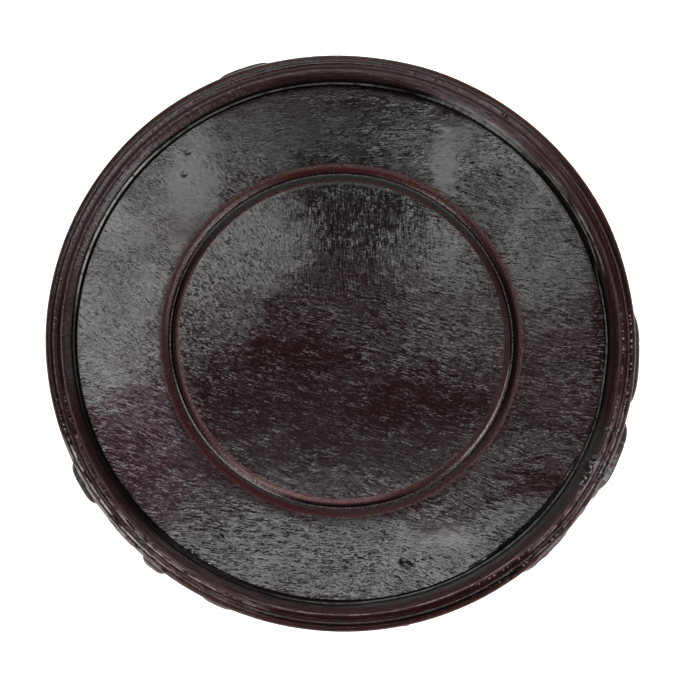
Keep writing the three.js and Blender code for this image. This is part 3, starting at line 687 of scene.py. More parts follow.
    # Painted highlight: the fillet line lightened to near white at the back left, and higher up the wall at the back
    # right.
    foot = math_node(t, "MULTIPLY", math_node(t, "MULTIPLY", line, where), sector(t, 152, 14, 8))
    tint = mix_colour(t, largest(t, [math_node(t, "MULTIPLY", foot, 0.9), math_node(t, "MULTIPLY", higher, 0.85)]), tint, (0.25, 0.245, 0.245))
    t.links.new(tint, b.inputs["Base Color"])
    sheen = math_node(t, "MULTIPLY_ADD", skin, -0.10, 0.24)
    sheen = math_node(t, "MULTIPLY", sheen, math_node(t, "MULTIPLY_ADD", shade, -0.5, 1.0))
    sheen = math_node(t, "MULTIPLY", sheen, math_node(t, "SUBTRACT", 1.0, dim))
    sheen = math_node(t, "MULTIPLY", sheen, math_node(t, "MULTIPLY", whole, math_node(t, "MULTIPLY_ADD", dirt, -0.7, 1.0)))
    t.links.new(sheen, b.inputs["Specular IOR Level"])
    b.inputs["Roughness"].default_value = 0.34
    t.links.new(mix_colour(t, grey, (1.0, 0.46, 0.46), (0.97, 1.0, 0.98)), b.inputs["Specular Tint"])
    b.inputs["Coat Roughness"].default_value = 0.12
    b.inputs["Coat IOR"].default_value = 1.55
    t.links.new(bump.outputs[0], b.inputs["Normal"])
    t.links.new(bump.outputs[0], b.inputs["Coat Normal"])
    return m


def groove_material():
    """The turned ring: worn red and dull on both lips, dark and glossy in the bottom."""
    m, t, b = new_material("groove_lacquer")
    base = place(t)
    r = radius_of(t)
    wobble = noise_tex(t, base, scale=1.1, detail=2.0, rough=0.65).outputs[0]
    at = between(t, math_node(t, "ADD", r, math_node(t, "MULTIPLY_ADD", wobble, 0.7, -0.35)), 41.3, 46.3)

    def stop(radius, colour):
        return ((radius - 41.3) / 5.0, colour)

    red = (0.020, 0.0050, 0.0050)
    tint = ramp(t, at, [
        stop(41.3, (0.012, 0.0048, 0.0050)), stop(41.8, (0.018, 0.0050, 0.0050)), stop(42.3, red), stop(42.8, (0.008, 0.0032, 0.0032)),
        stop(43.1, (0.004, 0.0026, 0.0026)), stop(44.1, (0.004, 0.0026, 0.0026)), stop(44.6, (0.012, 0.0034, 0.0034)),
        stop(45.2, (0.024, 0.0056, 0.0056)), stop(45.8, red), stop(46.3, (0.012, 0.0044, 0.0046))])
    gloss = ramp(t, at, [
        stop(41.3, (0.8,) * 3), stop(41.8, (0.55,) * 3), stop(42.4, (0.5,) * 3), stop(42.8, (0.9,) * 3),
        stop(44.2, (1.0,) * 3), stop(44.7, (0.6,) * 3), stop(45.4, (0.38,) * 3), stop(45.9, (0.42,) * 3), stop(46.3, (0.7,) * 3)])
    fine = noise_tex(t, base, scale=2.4, detail=2.0, rough=0.65).outputs[0]
    coat = math_node(t, "MULTIPLY", gloss, math_node(t, "MULTIPLY_ADD", fine, 4.5, -1.75, clamp=True), clamp=True)

    def band(a, b_, c, d):
        return math_node(t, "MULTIPLY", between(t, r, a, b_), between(t, r, d, c))

    # Painted shade: a black line beside the bottom, and another below the inner lip in places.
    bottom = largest(t, [math_node(t, "MULTIPLY", band(43.64, 43.76, 43.98, 44.14), sector(t, 70, 112, 20)),
                         math_node(t, "MULTIPLY", math_node(t, "MULTIPLY", band(43.64, 43.8, 44.7, 45.0), sector(t, 0, 16, 14)), 0.75)])
    below_lip = math_node(t, "MULTIPLY", band(42.78, 42.9, 43.22, 43.34), largest(t, [sector(t, 9, 12, 8), sector(t, 180, 18, 12), sector(t, 270, 14, 10)]))
    black = largest(t, [bottom, below_lip])
    shut = math_node(t, "MULTIPLY_ADD", black, -0.88, 1.0)
    coat = math_node(t, "MULTIPLY", coat, shut)
    dulled = math_node(t, "MULTIPLY", band(41.7, 41.85, 42.6, 42.75), sector(t, 318, 14, 10))
    coat = math_node(t, "MULTIPLY", coat, math_node(t, "MULTIPLY_ADD", dulled, -0.85, 1.0))
    tint = mix_colour(t, math_node(t, "MULTIPLY", dulled, 0.8), tint, (0.0050, 0.0026, 0.0026))
    tint = mix_colour(t, black, tint, (0.0022, 0.0018, 0.0018))
    # The steep side at the back is not worn red.
    steep = math_node(t, "MULTIPLY", band(42.2, 42.4, 43.4, 43.5), sector(t, 90, 48, 20))
    tint = mix_colour(t, steep, tint, (0.0050, 0.0044, 0.0044))
    # Painted highlights on the inner lip, pale and reddish.
    pale = largest(t, [math_node(t, "MULTIPLY", band(41.5, 41.65, 42.3, 42.5), sector(t, 264, 14, 12)),
                       math_node(t, "MULTIPLY", math_node(t, "MULTIPLY", band(41.35, 41.5, 42.0, 42.2), sector(t, 186, 24, 14)), 0.5)])
    pale = math_node(t, "MULTIPLY", pale, math_node(t, "MULTIPLY_ADD", fine, 4.0, -1.1, clamp=True))
    tint = mix_colour(t, pale, tint, (0.115, 0.068, 0.066))
    # Painted highlight, pale, on the outer slope at the back left and the back right.
    shine = math_node(t, "MULTIPLY", largest(t, [math_node(t, "MULTIPLY", band(44.15, 44.35, 44.95, 45.2), sector(t, 143, 24, 14)),
                                                 math_node(t, "MULTIPLY", band(43.95, 44.1, 44.55, 44.9), sector(t, 57, 6, 7))]),
                      math_node(t, "MULTIPLY_ADD", fine, 4.0, -1.3, clamp=True))
    tint = mix_colour(t, shine, tint, (0.080, 0.068, 0.068))
    # Painted highlight: thin pale lines low in the groove, in front at left and at right.
    glint_thread = math_node(t, "MULTIPLY", math_node(t, "MULTIPLY", largest(t, [math_node(t, "MULTIPLY", band(43.22, 43.30, 43.46, 43.56), sector(t, 222, 22, 8)),
                                                  math_node(t, "MULTIPLY", band(42.80, 42.92, 43.14, 43.26), sector(t, 334, 12, 8))]), 1.0),
                       math_node(t, "MULTIPLY_ADD", fine, 4.0, -0.9, clamp=True))
    tint = mix_colour(t, glint_thread, tint, (0.17, 0.16, 0.155))
    # Worn through to red on the outer lip at the back and in front.
    worn = largest(t, [math_node(t, "MULTIPLY", band(44.4, 44.7, 46.0, 46.4), sector(t, 232, 26, 16)),
                       math_node(t, "MULTIPLY", band(44.1, 44.3, 45.0, 45.4), sector(t, 88, 24, 12))])
    tint = mix_colour(t, math_node(t, "MULTIPLY", worn, 0.7), tint, (0.0330, 0.0036, 0.0040))
    t.links.new(tint, b.inputs["Base Color"])
    coat = math_node(t, "MULTIPLY", coat, math_node(t, "MULTIPLY_ADD", worn, -0.45, 1.0))
    t.links.new(coat, b.inputs["Coat Weight"])
    bump = t.nodes.new("ShaderNodeBump")
    bump.inputs["Strength"].default_value = 1.0
    bump.inputs["Distance"].default_value = 0.00006
    t.links.new(fine, bump.inputs["Height"])
    b.inputs["Roughness"].default_value = 0.38
    sheen = math_node(t, "MULTIPLY", sector(t, 255, 45, 25), between(t, r, 42.9, 42.3))
    sheen = math_node(t, "MULTIPLY_ADD", sheen, 0.30, 0.20)
    sheen = math_node(t, "MULTIPLY_ADD", steep, 0.20, sheen)
    sheen = math_node(t, "MULTIPLY", sheen, math_node(t, "MULTIPLY_ADD", largest(t, [worn, dulled]), -0.45, 1.0))
    t.links.new(math_node(t, "MULTIPLY", sheen, shut), b.inputs["Specular IOR Level"])
    t.links.new(mix_colour(t, steep, (1.0, 0.45, 0.46), (0.95, 1.0, 0.98)), b.inputs["Specular Tint"])
    b.inputs["Coat Roughness"].default_value = 0.12
    b.inputs["Coat IOR"].default_value = 1.52
    t.links.new(bump.outputs[0], b.inputs["Normal"])
    t.links.new(bump.outputs[0], b.inputs["Coat Normal"])
    return m


PANEL = panel_material()
RIM = rim_material()
GROOVE = groove_material()
CARVED = turned_material("carved_lacquer", (0.0075, 0.0042, 0.0042), (0.022, 0.0075, 0.0078), rough=0.38, coat=1.0, coat_rough=0.12, bump_mm=0.06, patchy=1.0)
PLAIN = turned_material("plain_wood", (0.022, 0.0105, 0.0085), (0.050, 0.0210, 0.0160), rough=0.5, coat=0.25, coat_rough=0.35, bump_mm=0.06)


def bamboo_material():
    m, t, b = new_material("bamboo_peg")
    fibres = noise_tex(t, place(t), scale=3.5, detail=3.0, rough=0.6)
    t.links.new(ramp(t, fibres.outputs[0], [(0.35, (0.16, 0.085, 0.034)), (0.65, (0.34, 0.20, 0.085))]), b.inputs["Base Color"])
    bump = t.nodes.new("ShaderNodeBump")
    bump.inputs["Distance"].default_value = 0.00005
    t.links.new(fibres.outputs[0], bump.inputs["Height"])
    t.links.new(bump.outputs[0], b.inputs["Normal"])
    b.inputs["Roughness"].default_value = 0.62
    return m


BAMBOO = bamboo_material()

# ---------------------------------------------------------------- top panel
NT = 600
theta = np.arange(NT) * 360.0 / NT


def groove_height(r):
    """Depth of the turned ring: a slow slope from outside, a steep wall inside."""
    rows = [(0, 0), (41.25, 0), (41.5, -0.015), (41.75, -0.06), (42.0, -0.145), (42.3, -0.275), (42.6, -0.42), (42.9, -0.575),
            (43.15, -0.71), (43.35, -0.785), (43.5, -0.805), (43.6, -0.80), (43.78, -0.735), (44.1, -0.585), (44.5, -0.405),
            (44.9, -0.245), (45.3, -0.12), (45.7, -0.04), (46.05, -0.008), (46.3, 0), (80, 0)]
    return along(rows, r)


def panel():
    radii = np.unique(np.round(np.r_[
        [0.6, 1.6], np.arange(2.8, 40.8, 1.1), np.arange(40.9, 41.6, 0.2), np.arange(41.6, 46.6, 0.12),
        np.arange(46.8, 65.8, 0.55), [65.9, 66.2, 66.4, 66.55, 66.68, 66.78, 66.85, 66.9]], 4))
    R = radii[:, None] * np.ones(NT)
    T = np.ones(len(radii))[:, None] * theta
    X, Y = R * np.cos(np.radians(T)), R * np.sin(np.radians(T))
    Z = PANEL_TOP + groove_height(R)
    # The board is not dead flat: slow hollows left by the scraper.
    flat = 1 - smooth(40.5, 41.5, R) * (1 - smooth(46.2, 47.2, R))
    Z = Z + flat * (0.035 * noise2(X / 17, Y / 9, 3) + 0.018 * noise2(X / 6.5, Y / 4, 5))
    # Edge rounded over, nicked unevenly along the gap.
    ragged = 0.5 + 0.5 * noise2(T * 1.35, 0 * T, 11)
    ragged = ragged + 0.6 * np.clip(noise2(T * 2.9, 0 * T + 4, 12), 0, 1)
    edge = smooth(66.25, 66.9, R)
    kept = smooth(16, 30, np.abs((T - 90 + 180) % 360 - 180)) * smooth(9, 20, np.abs((T - 316 + 180) % 360 - 180))
    Z = Z - edge * (0.10 + 0.30 * ragged) * (1 - 0.96 * kept)
    # Chip beside the rim, and small pits.
    for x, y, rx, ry, ang, depth in ((15.95, -57.6, 1.5, 0.75, -30, 0.34), (17.3, -58.5, 1.1, 0.5, -25, 0.22),
                                     (-39.6, 48.8, 0.45, 0.45, 0, 0.25), (-40.3, 42.8, 0.5, 0.4, 0, 0.28),
                                     (-37.6, 41.0, 0.3, 0.3, 0, 0.08), (-35.1, 52.4, 0.35, 0.35, 0, 0.2),
                                     (-48.2, 32.5, 0.45, 0.4, 0, 0.22), (-30.6, -51.1, 0.75, 0.65, 0, 0.32),
                                     (-9.2, -51.5, 0.5, 0.6, 0, 0.2)):
        a = math.radians(ang)
        dx, dy = X - x, Y - y
        u = (dx * math.cos(a) + dy * math.sin(a)) / rx
        v = (-dx * math.sin(a) + dy * math.cos(a)) / ry
        d = np.sqrt(u * u + v * v) * (1 + 0.35 * noise2(X / 0.5, Y / 0.5, 21))
        Z = Z - depth * (1 - smooth(0.35, 1.1, d))
    # A drop of lacquer over the edge at lower right.
    d = np.hypot((X - 44.0) / 1.6, (Y + 49.4) / 1.3)
    Z = Z + 0.28 * (1 - smooth(0.2, 1.0, d)) * (0.7 + 0.3 * noise2(X / 0.7, Y / 0.7, 23))
    verts = [np.array([[0, 0, PANEL_TOP]])]
    rings = [np.stack([X[i], Y[i], Z[i]], -1) for i in range(len(radii))]
    # Down the edge to the tongue, under it, and the plain underside.
    for r, z in ((66.9, 46.2), (66.9, 45.2), (66.9, 44.5), (68.7, 44.5), (68.7, 42.6), (62.7, 42.6), (62.7, 39.9), (62.4, 39.6), (40.0, 39.6), (8, 39.6)):
        rings.append(polar(np.full(NT, r), theta, z))
    verts += rings + [np.array([[0, 0, 39.6]])]
    V = np.vstack(verts)
    faces, mats = [], []
    n = len(rings)
    groove_lo, groove_hi = 41.35, 46.2
    ring_r = list(radii) + [66.9] * 10
    j = np.arange(NT)
    k = (j + 1) % NT
    for a in range(NT):
        faces.append((0, 1 + a, 1 + (a + 1) % NT)); mats.append(0)
    for i in range(n - 1):
        o, p = 1 + i * NT, 1 + (i + 1) * NT
        faces.extend(np.stack([o + j, p + j, p + k, o + k], -1).tolist())
        mid = 0.5 * (ring_r[i] + ring_r[i + 1])
        which = 1 if i < len(radii) - 1 and groove_lo < mid < groove_hi else (0 if i < len(radii) else 2)
        mats.extend([which] * NT)
    last = 1 + (n - 1) * NT
    end = len(V) - 1
    for a in range(NT):
        faces.append((end, last + (a + 1) % NT, last + a)); mats.append(2)
    return mesh_object("panel", V, faces, [PANEL, GROOVE, PLAIN], mats, 50)


board = panel()
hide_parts("top_panel")
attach(board, "root")

# ----------------------------------------------------------------------- rim
WALL = [(67.1, 45.7), (67.30, 45.6), (67.44, 45.6), (67.50, 45.74), (67.54, 45.95), (67.61, 46.03), (68.12, 46.07),
        (68.22, 46.30), (68.27, 46.6), (68.36, 46.9), (68.6, 47.08), (69.2, 47.34), (69.7, 47.56), (70.2, 47.76), (70.55, 47.88), (70.85, 47.955),
        (71.08, 47.95), (71.28, 47.87), (71.5, 47.71), (71.75, 47.50), (72.05, 47.24)]
BEAD2 = [(72.05, 47.24), (72.25, 47.30), (72.55, 47.47), (72.88, 47.66), (73.12, 47.67), (73.36, 47.52), (73.58, 47.2)]
BEAD3 = [(73.58, 47.2), (73.76, 47.38), (74.02, 47.50), (74.34, 47.45), (74.65, 47.22), (74.9, 46.88), (75.0, 46.45),
         (74.92, 46.1), (74.65, 45.82), (74.2, 45.66), (73.6, 45.6)]


def rim_section():
    """Points round the section from the lap level outside, over the moulding and back inside."""
    a = spline(WALL, 44)
    b = spline(BEAD2, 17)[1:]
    c = spline(BEAD3, 22)[1:]
    top = np.vstack([a, b, c])[::-1]  # from the underside of the lip up and inwards
    outer = np.array([(71.0, 36.9), (71.0, 40.85), (71.0, 41.15), (71.0, 45.3), (71.3, 45.6)])
    inner = np.array([(67.1, 44.8), (69.05, 44.8), (69.05, 42.3), (63.0, 42.3), (63.0, 41.15), (63.0, 40.85),
                      (63.0, 36.9), (63.4, 36.5), (70.6, 36.5)])
    return np.vstack([outer, top, inner]), len(outer), len(outer) + len(top)


SECTION, TOP_FROM, TOP_TO = rim_section()
LOW_A, UP_A = 1, 2  # last lower and first upper point on the outer face
UP_B, LOW_B = TOP_TO + 4, TOP_TO + 5  # last upper and first lower point on the inner face


def rim_offset(deg, k):
    """Small faults of the moulding: how far a section point stands out of place, in mm."""
    r = SECTION[:, 0][None, :] + 0 * deg[:, None]
    z = SECTION[:, 1][None, :] + 0 * deg[:, None]
    d = np.asarray(deg, float)[:, None] + 0 * r
    on_top = np.zeros(len(SECTION)); on_top[TOP_FROM:TOP_TO] = 1
    s = np.radians(d) * 71
    out_r = np.zeros_like(r); out_z = np.zeros_like(r)
    # Hand finishing: the beads wander by a few hundredths.
    out_z += 0.035 * noise2(s / 9, r / 2.2, 31) + 0.02 * noise2(s / 2.3, r / 1.2, 32)
    out_r += 0.03 * noise2(s / 13, 0 * r, 33)
    # The ring has moved a little out of round at the back.
    back = smooth(10, 28, d) * (1 - smooth(128, 168, d))
    back = back * (1 - 0.35 * (1 - smooth(6, 22, np.abs(d - 90))))
    out_r += 0.37 * smooth(73.6, 74.9, r) * back
    # The corner inside is not concentric with the beads.
    def near(middle, half, soft):
        return 1 - smooth(half, half + soft, np.abs((d - middle + 180) % 360 - 180))
    push = 0.34 * near(46, 18, 16) + 0.16 * near(152, 12, 12) - 0.32 * near(314, 34, 14) - 0.30 * near(2, 8, 12)
    out_r += push * smooth(67.2, 67.6, r) * (1 - smooth(68.4, 69.0, r))
    # Lacquer fills the quirk round the back and in places in front.
    filled = np.clip(near(100, 62, 16) + near(238, 10, 8) + near(333, 10, 6), 0, 1)
    out_z += 0.24 * filled * np.exp(-((r - 73.58) / 0.17) ** 2)
    # Filled and knocked zone across the beads.
    for centre, half, r0, r1, amp in ((333.2, 2.9, 69.6, 74.3, 0.34), (226.2, 1.3, 71.8, 74.5, 0.34), (54.8, 0.7, 71.2, 73.2, 0.2),
                                      (316.5, 8.0, 71.6, 74.4, 0.16), (304, 6, 73.3, 74.2, 0.30), (203, 10, 73.3, 74.2, 0.32),
                                      (352, 12.0, 73.3, 74.2, 0.30), (232, 14, 71.6, 74.4, 0.16), (250, 6, 73.0, 74.4, 0.16)):
        w = (1 - smooth(0.55, 1.0, np.abs(d - centre) / half)) * smooth(r0 - 0.5, r0 + 0.3, r) * (1 - smooth(r1 - 0.3, r1 + 0.5, r))
        out_z += w * amp * (noise2(s / 0.85, r / 0.9, 41) + 0.5 * noise2(s / 0.5, r / 0.45, 42) - 0.15)
    for deg0, r0, rad_mm, depth in ((341.3, 70.9, 0.75, 0.55), (334.6, 70.3, 0.9, 0.5), (331.6, 71.8, 0.8, 0.45), (54.8, 72.6, 0.7, 0.3),
                                    (226.4, 72.9, 0.8, 0.4)):
        dist = np.hypot((d - deg0) * math.pi / 180 * 71, r - r0) / rad_mm
        out_z -= depth * (1 - smooth(0.3, 1.05, dist * (1 + 0.25 * noise2(s / 0.5, r / 0.5, 44))))
    return out_r * on_top, out_z * on_top


def rim_segment(i):
    start, stop = RIM_JOINTS[i], RIM_JOINTS[(i + 1) % 4] + (360 if i == 3 else 0)
    gap = 0.02
    a0, a1 = start - LAP_DEG + gap, start + gap
    b0, b1 = stop - LAP_DEG - gap, stop - gap
    step = 0.4
    degs = np.unique(np.round(np.r_[np.linspace(a0, a1, 14), np.linspace(a1, b0, int((b0 - a1) / step)), np.linspace(b0, b1, 14)], 6))
    # finer where the moulding is knocked about
    extra = [np.arange(c - h, c + h, 0.17) for c, h in ((333.2, 3.2), (226.2, 1.6), (54.8, 1.0), (341.3, 1.0),
                                                        (203, 10), (218, 6), (242, 10), (304, 8), (318, 8), (352, 10))]
    extra = np.concatenate(extra + [e + 360 for e in extra] + [e - 360 for e in extra])
    extra = extra[(extra > a1 + 0.05) & (extra < b1 - 0.05)]
    degs = np.unique(np.round(np.r_[degs, extra], 4))
    degs = degs[np.r_[True, np.diff(degs) > 0.03]]
    for must in (a1, b0):
        degs[np.argmin(np.abs(degs - must))] = must
    n = len(SECTION)
    dr, dz = rim_offset(np.mod(degs, 360), n)
    V = polar(SECTION[:, 0][None, :] + dr, degs[:, None], SECTION[:, 1][None, :] + dz).reshape(-1, 3)
    lower = list(range(LOW_B, n)) + list(range(0, LOW_A + 1))
    upper = list(range(UP_A, UP_B + 1))
    whole = list(range(n))
    faces = []

    def strip(loop, j0, j1):
        for a, b in zip(loop, loop[1:] + loop[:1]):
            for j in range(j0, j1):
                faces.append((j * n + a, j * n + b, (j + 1) * n + b, (j + 1) * n + a))

    ja, jb, jz = int(np.argmin(np.abs(degs - a1))), int(np.argmin(np.abs(degs - b0))), len(degs) - 1
    strip(lower, 0, ja)
    strip(whole, ja, jb)
    strip(upper, jb, jz)
    faces.append(tuple(lower))
    faces.append(tuple(ja * n + k for k in [LOW_A] + upper + [LOW_B]))
    faces.append(tuple(jb * n + k for k in [UP_B] + lower + [UP_A]))
    faces.append(tuple(jz * n + k for k in upper))
    used = np.unique(np.concatenate([np.array(f) for f in faces]))
    index = np.full(len(V), -1); index[used] = np.arange(len(used))
    faces = [tuple(index[list(f)]) for f in faces]
    obj = mesh_object("rim_moulding_%d" % (i + 1), V[used], faces, [RIM], None, 38)
    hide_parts("rim_segment_%d" % (i + 1))
    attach(obj, "root")
    return obj


rims = [rim_segment(i) for i in range(4)]

# --------------------------------------------------------- carved relief
def polyline_distance(px, py, pts):
    """Distance from each point to a polyline, and how far along it (0 to 1) the nearest place is."""
    best = np.full(np.shape(px), 1e9)
    where = np.zeros(np.shape(px))
    pts = np.asarray(pts, float)
    seg = np.diff(pts, axis=0)
    length = np.hypot(seg[:, 0], seg[:, 1])
    total = length.sum()
    run = 0.0
    for (x0, y0), (dx, dy), ln in zip(pts[:-1], seg, length):
        if ln < 1e-9:
            continue
        t = np.clip(((px - x0) * dx + (py - y0) * dy) / ln**2, 0, 1)
        d = np.hypot(px - x0 - t * dx, py - y0 - t * dy)
        closer = d < best
        best = np.where(closer, d, best)
        where = np.where(closer, (run + t * ln) / total, where)
        run += ln
    return best, where


def scroll(cx, cy, radius, turns, start, hand=1, tail=None, n=40):
    """A volute: from its eye out to its rim, then along a tail of points."""
    t = np.linspace(0, 1, n)
    a = math.radians(start) - hand * 2 * math.pi * turns * (1 - t)
    r = radius * (0.16 + 0.84 * t**0.9)
    pts = np.c_[cx + r * np.cos(a), cy + r * np.sin(a)]
    if tail is not None:
        pts = np.vstack([pts, tail_curve(pts[-1], tail)])
    return pts


def tail_curve(first, points, n=12):
    p = np.vstack([first, points])
    return spline(p, n * len(points))[1:]


def stroke(height, px, py, pts, width, amp, taper=(1.0, 1.0)):
    d, w = polyline_distance(px, py, pts)
    wide = width * (taper[0] + (taper[1] - taper[0]) * w)
    h = amp * np.sqrt(np.clip(1 - (d / np.maximum(wide, 0.05)) ** 2, 0, 1))
    return np.maximum(height, h)


# Lumps of the carving that stand out past the rim: first and last azimuth, radius
# at the crest, height of the crest, spread of the crest in height.
LUMPS = [
    (102.6, 116.2, 76.75, 44.7, 2.6),
    (88.0, 99.5, 75.3, 43.9, 2.4), (119.5, 131.0, 75.3, 43.9, 2.4),
    (205.0, 215.0, 76.3, 44.5, 2.6), (217.0, 227.0, 75.25, 44.6, 2.2), (228.0, 234.0, 76.05, 44.5, 2.6),
    (241.8, 248.8, 75.35, 44.6, 2.2), (279.8, 285.6, 74.95, 44.7, 2.0),
    (306.8, 321.0, 75.6, 44.6, 2.4), (322.9, 325.7, 75.4, 44.7, 1.8),
    (326.6, 334.0, 75.8, 44.4, 3.0), (328.6, 344.6, 76.85, 44.4, 3.0), (346.8, 367.6, 76.45, 44.5, 2.8),
    (44.0, 56.0, 75.0, 43.8, 2.4), (164.0, 176.0, 74.9, 43.8, 2.4),
]


def lumps(deg, z, r0):
    """The prominence of the carving over a plain face of radius r0."""
    out = np.zeros(np.shape(z))
    for first, last, crest, zc, spread in LUMPS:
        mid, half = (first + last) / 2, (last - first) / 2
        d = (deg - mid + 180) % 360 - 180
        u = np.abs(d) / half
        across_ = np.clip(1 - u**4.5, 0, 1) ** 0.7
        v = np.where(z > zc, (z - zc) / 1.6, (zc - z) / (spread * 1.25))
        up = np.clip(1 - v**2, 0, 1) ** 0.8
        out = np.maximum(out, np.maximum(crest - r0, 0) * across_ * up)
    return out


def relief_apron(s, z, edge, mid_half):
    """Height of the carving at arc position s from the middle (mm) and height z."""
    h = np.zeros(np.shape(s))
    low = z - edge
    # bead along the cusped edge
    h = np.maximum(h, 0.55 * np.sqrt(np.clip(1 - ((low - 0.9) / 0.9) ** 2, 0, 1)))
    for side in (-1, 1):
        x = s * side
        for cx, cy, rad_, turns, start, hand, tail in (
            (7.6, 40.2, 2.9, 1.4, 250, 1, [(3.4, 37.0), (0.6, 36.6)]),
            (16.6, 38.2, 3.5, 1.5, 95, -1, [(12.6, 41.2), (9.4, 43.0)]),
            (27.4, 39.4, 3.4, 1.5, 265, 1, [(22.8, 35.4), (19.8, 33.8)]),
            (37.0, 36.0, 4.0, 1.6, 95, -1, [(32.4, 40.4), (29.6, 43.4)]),
        ):
            h = stroke(h, x, z, scroll(cx, cy, rad_, turns, start, hand, tail), 0.95, 0.8, (0.7, 1.15))
        for pts, w in (([(11.6, 36.0), (13.2, 34.9), (15.4, 34.4)], 0.7), ([(21.6, 41.8), (23.6, 43.4), (26.2, 43.8)], 0.8),
                       ([(31.6, 36.2), (32.6, 33.4), (35.0, 31.6)], 0.8), ([(41.6, 38.6), (43.6, 41.4), (46.5, 43.0)], 0.9),
                       ([(41.8, 33.4), (44.6, 32.4), (47.6, 33.4)], 0.8)):
            h = stroke(h, x, z, spline(pts, 14), w, 0.65, (1.2, 0.5))
    # middle boss: three round petals
    for cx, cy, r_ in ((0, 40.6, 2.3), (-2.6, 42.3, 1.5), (2.6, 42.3, 1.5)):
        d = np.hypot(s - cx, z - cy) / r_
        h = np.maximum(h, 0.95 * np.sqrt(np.clip(1 - d * d, 0, 1)))
    return h


def relief_leg(x, z, half):
    """Height of the carving at x across the leg (mm) and height z."""
    h = np.zeros(np.shape(x))
    side_gap = half - np.abs(x)
    h = np.maximum(h, 0.5 * np.sqrt(np.clip(1 - ((side_gap - 0.9) / 0.85) ** 2, 0, 1)) * smooth(8, 12, z) * (1 - smooth(38, 42, z)))
    for side in (-1, 1):
        u = x * side
        h = stroke(h, u, z, scroll(6.6, 38.6, 3.9, 1.6, 200, -1, [(2.6, 33.6), (0.4, 30.2)]), 1.05, 0.95, (0.7, 1.2))
        h = stroke(h, u, z, scroll(5.3, 4.9, 3.6, 1.4, 100, 1, [(1.8, 10.5), (0.7, 16.5)]), 1.0, 0.85, (0.75, 0.9))
        h = stroke(h, u, z, spline([(10.0, 33.6), (8.4, 29.0), (6.2, 24.8)], 16), 0.85, 0.6, (1.1, 0.5))
    for cx, cy, rx, ry in ((0, 41.2, 2.7, 2.7), (0, 26.2, 1.6, 3.4), (0, 19.0, 1.1, 2.4)):
        d = np.hypot((x - cx) / rx, (z - cy) / ry)
        h = np.maximum(h, 0.95 * np.sqrt(np.clip(1 - d * d, 0, 1)))
    return h


def block_mesh(name, outer, inner, mats, closed_faces=True):
    """A closed body from an outer and an inner grid of points, both (rows, columns, 3)."""
    m, n, _ = outer.shape
    V = np.vstack([outer.reshape(-1, 3), inner.reshape(-1, 3)])
    off = m * n
    faces = []
    i, j = np.meshgrid(np.arange(m - 1), np.arange(n - 1), indexing="ij")
    a = (i * n + j).ravel()
    faces += np.stack([a, a + 1, a + n + 1, a + n], -1).tolist()
    b = a + off
    faces += np.stack([b, b + n, b + n + 1, b + 1], -1).tolist()
    for j in range(n - 1):
        faces.append((j, off + j, off + j + 1, j + 1))
        e = (m - 1) * n + j
        faces.append((e, e + 1, off + e + 1, off + e))
    for i in range(m - 1):
        c, d = i * n, (i + 1) * n
        faces.append((c, d, off + d, off + c))
        c, d = c + n - 1, d + n - 1
        faces.append((c, off + c, off + d, d))
    return mesh_object(name, V, faces, mats, None, 42)


def rabbet(z, plain):
    """Inner radius, which steps out in front of the rim body above its underside."""
    return np.where(z > 36.15, 71.35, plain)


def leg(i):
    az = LEGS[i]
    z = np.unique(np.round(np.r_[np.linspace(0, 12, 40), np.linspace(12, 36.1, 72), [36.1, 36.2], np.linspace(36.2, LEG_TOP, 34)], 4))
    u = np.linspace(-1, 1, 73)
    Z = z[:, None] + 0 * u
    U = u[None, :] + 0 * Z
    half = along(LEG_HALF, Z)
    r0 = along(LEG_OUTER, Z) + 0.45 * (1 - U**2) - 0.45
    base_r = r0.copy()
    X = U * half
    h = relief_leg(X, Z, half)
    fade = smooth(0, 0.05, 1 - np.abs(U)) * smooth(0, 1.2, Z + 0.2)
    s = np.radians(az) * 70 + X
    texture = 0.05 * noise2(s / 1.1, Z / 1.3, 51) + 0.03 * noise2(s / 0.5, Z / 0.5, 52)
    deg = az + np.degrees(np.arcsin(np.clip(X / r0, -1, 1)))
    r = base_r - 0.55 + (h + texture) * fade
    r = np.maximum(r, base_r + lumps(deg, Z, base_r) - 0.30 * (1 - np.clip(h / 0.9, 0, 1)) * (lumps(deg, Z, base_r) > 0) - 1.2 * (lumps(deg, Z, base_r) <= 0))
    limit = np.where(Z > 45.0, LEG_TOP, LEG_TOP)
    # rounded arrises at the sides and the foot
    high = smooth(38, 41, Z)
    arris = (1 - high) * 0.5 * (1 - smooth(0, 0.09, 1 - np.abs(U))) + high * 0.15 * (1 - smooth(0, 0.02, 1 - np.abs(U)))
    r = r - arris - 0.5 * (1 - smooth(0, 0.9, Z))
    deg = az + np.degrees(np.arcsin(np.clip(X / r, -1, 1)))
    outer = polar(r, deg, Z)
    ri = rabbet(Z, along(LEG_INNER, Z))
    deg_i = az + np.degrees(np.arcsin(np.clip(X / ri, -1, 1)))
    inner = polar(ri, deg_i, Z)
    obj = block_mesh("carved_leg_%d" % (i + 1), outer, inner, [CARVED])
    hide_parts("leg_%d" % (i + 1))
    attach(obj, "root")
    return obj


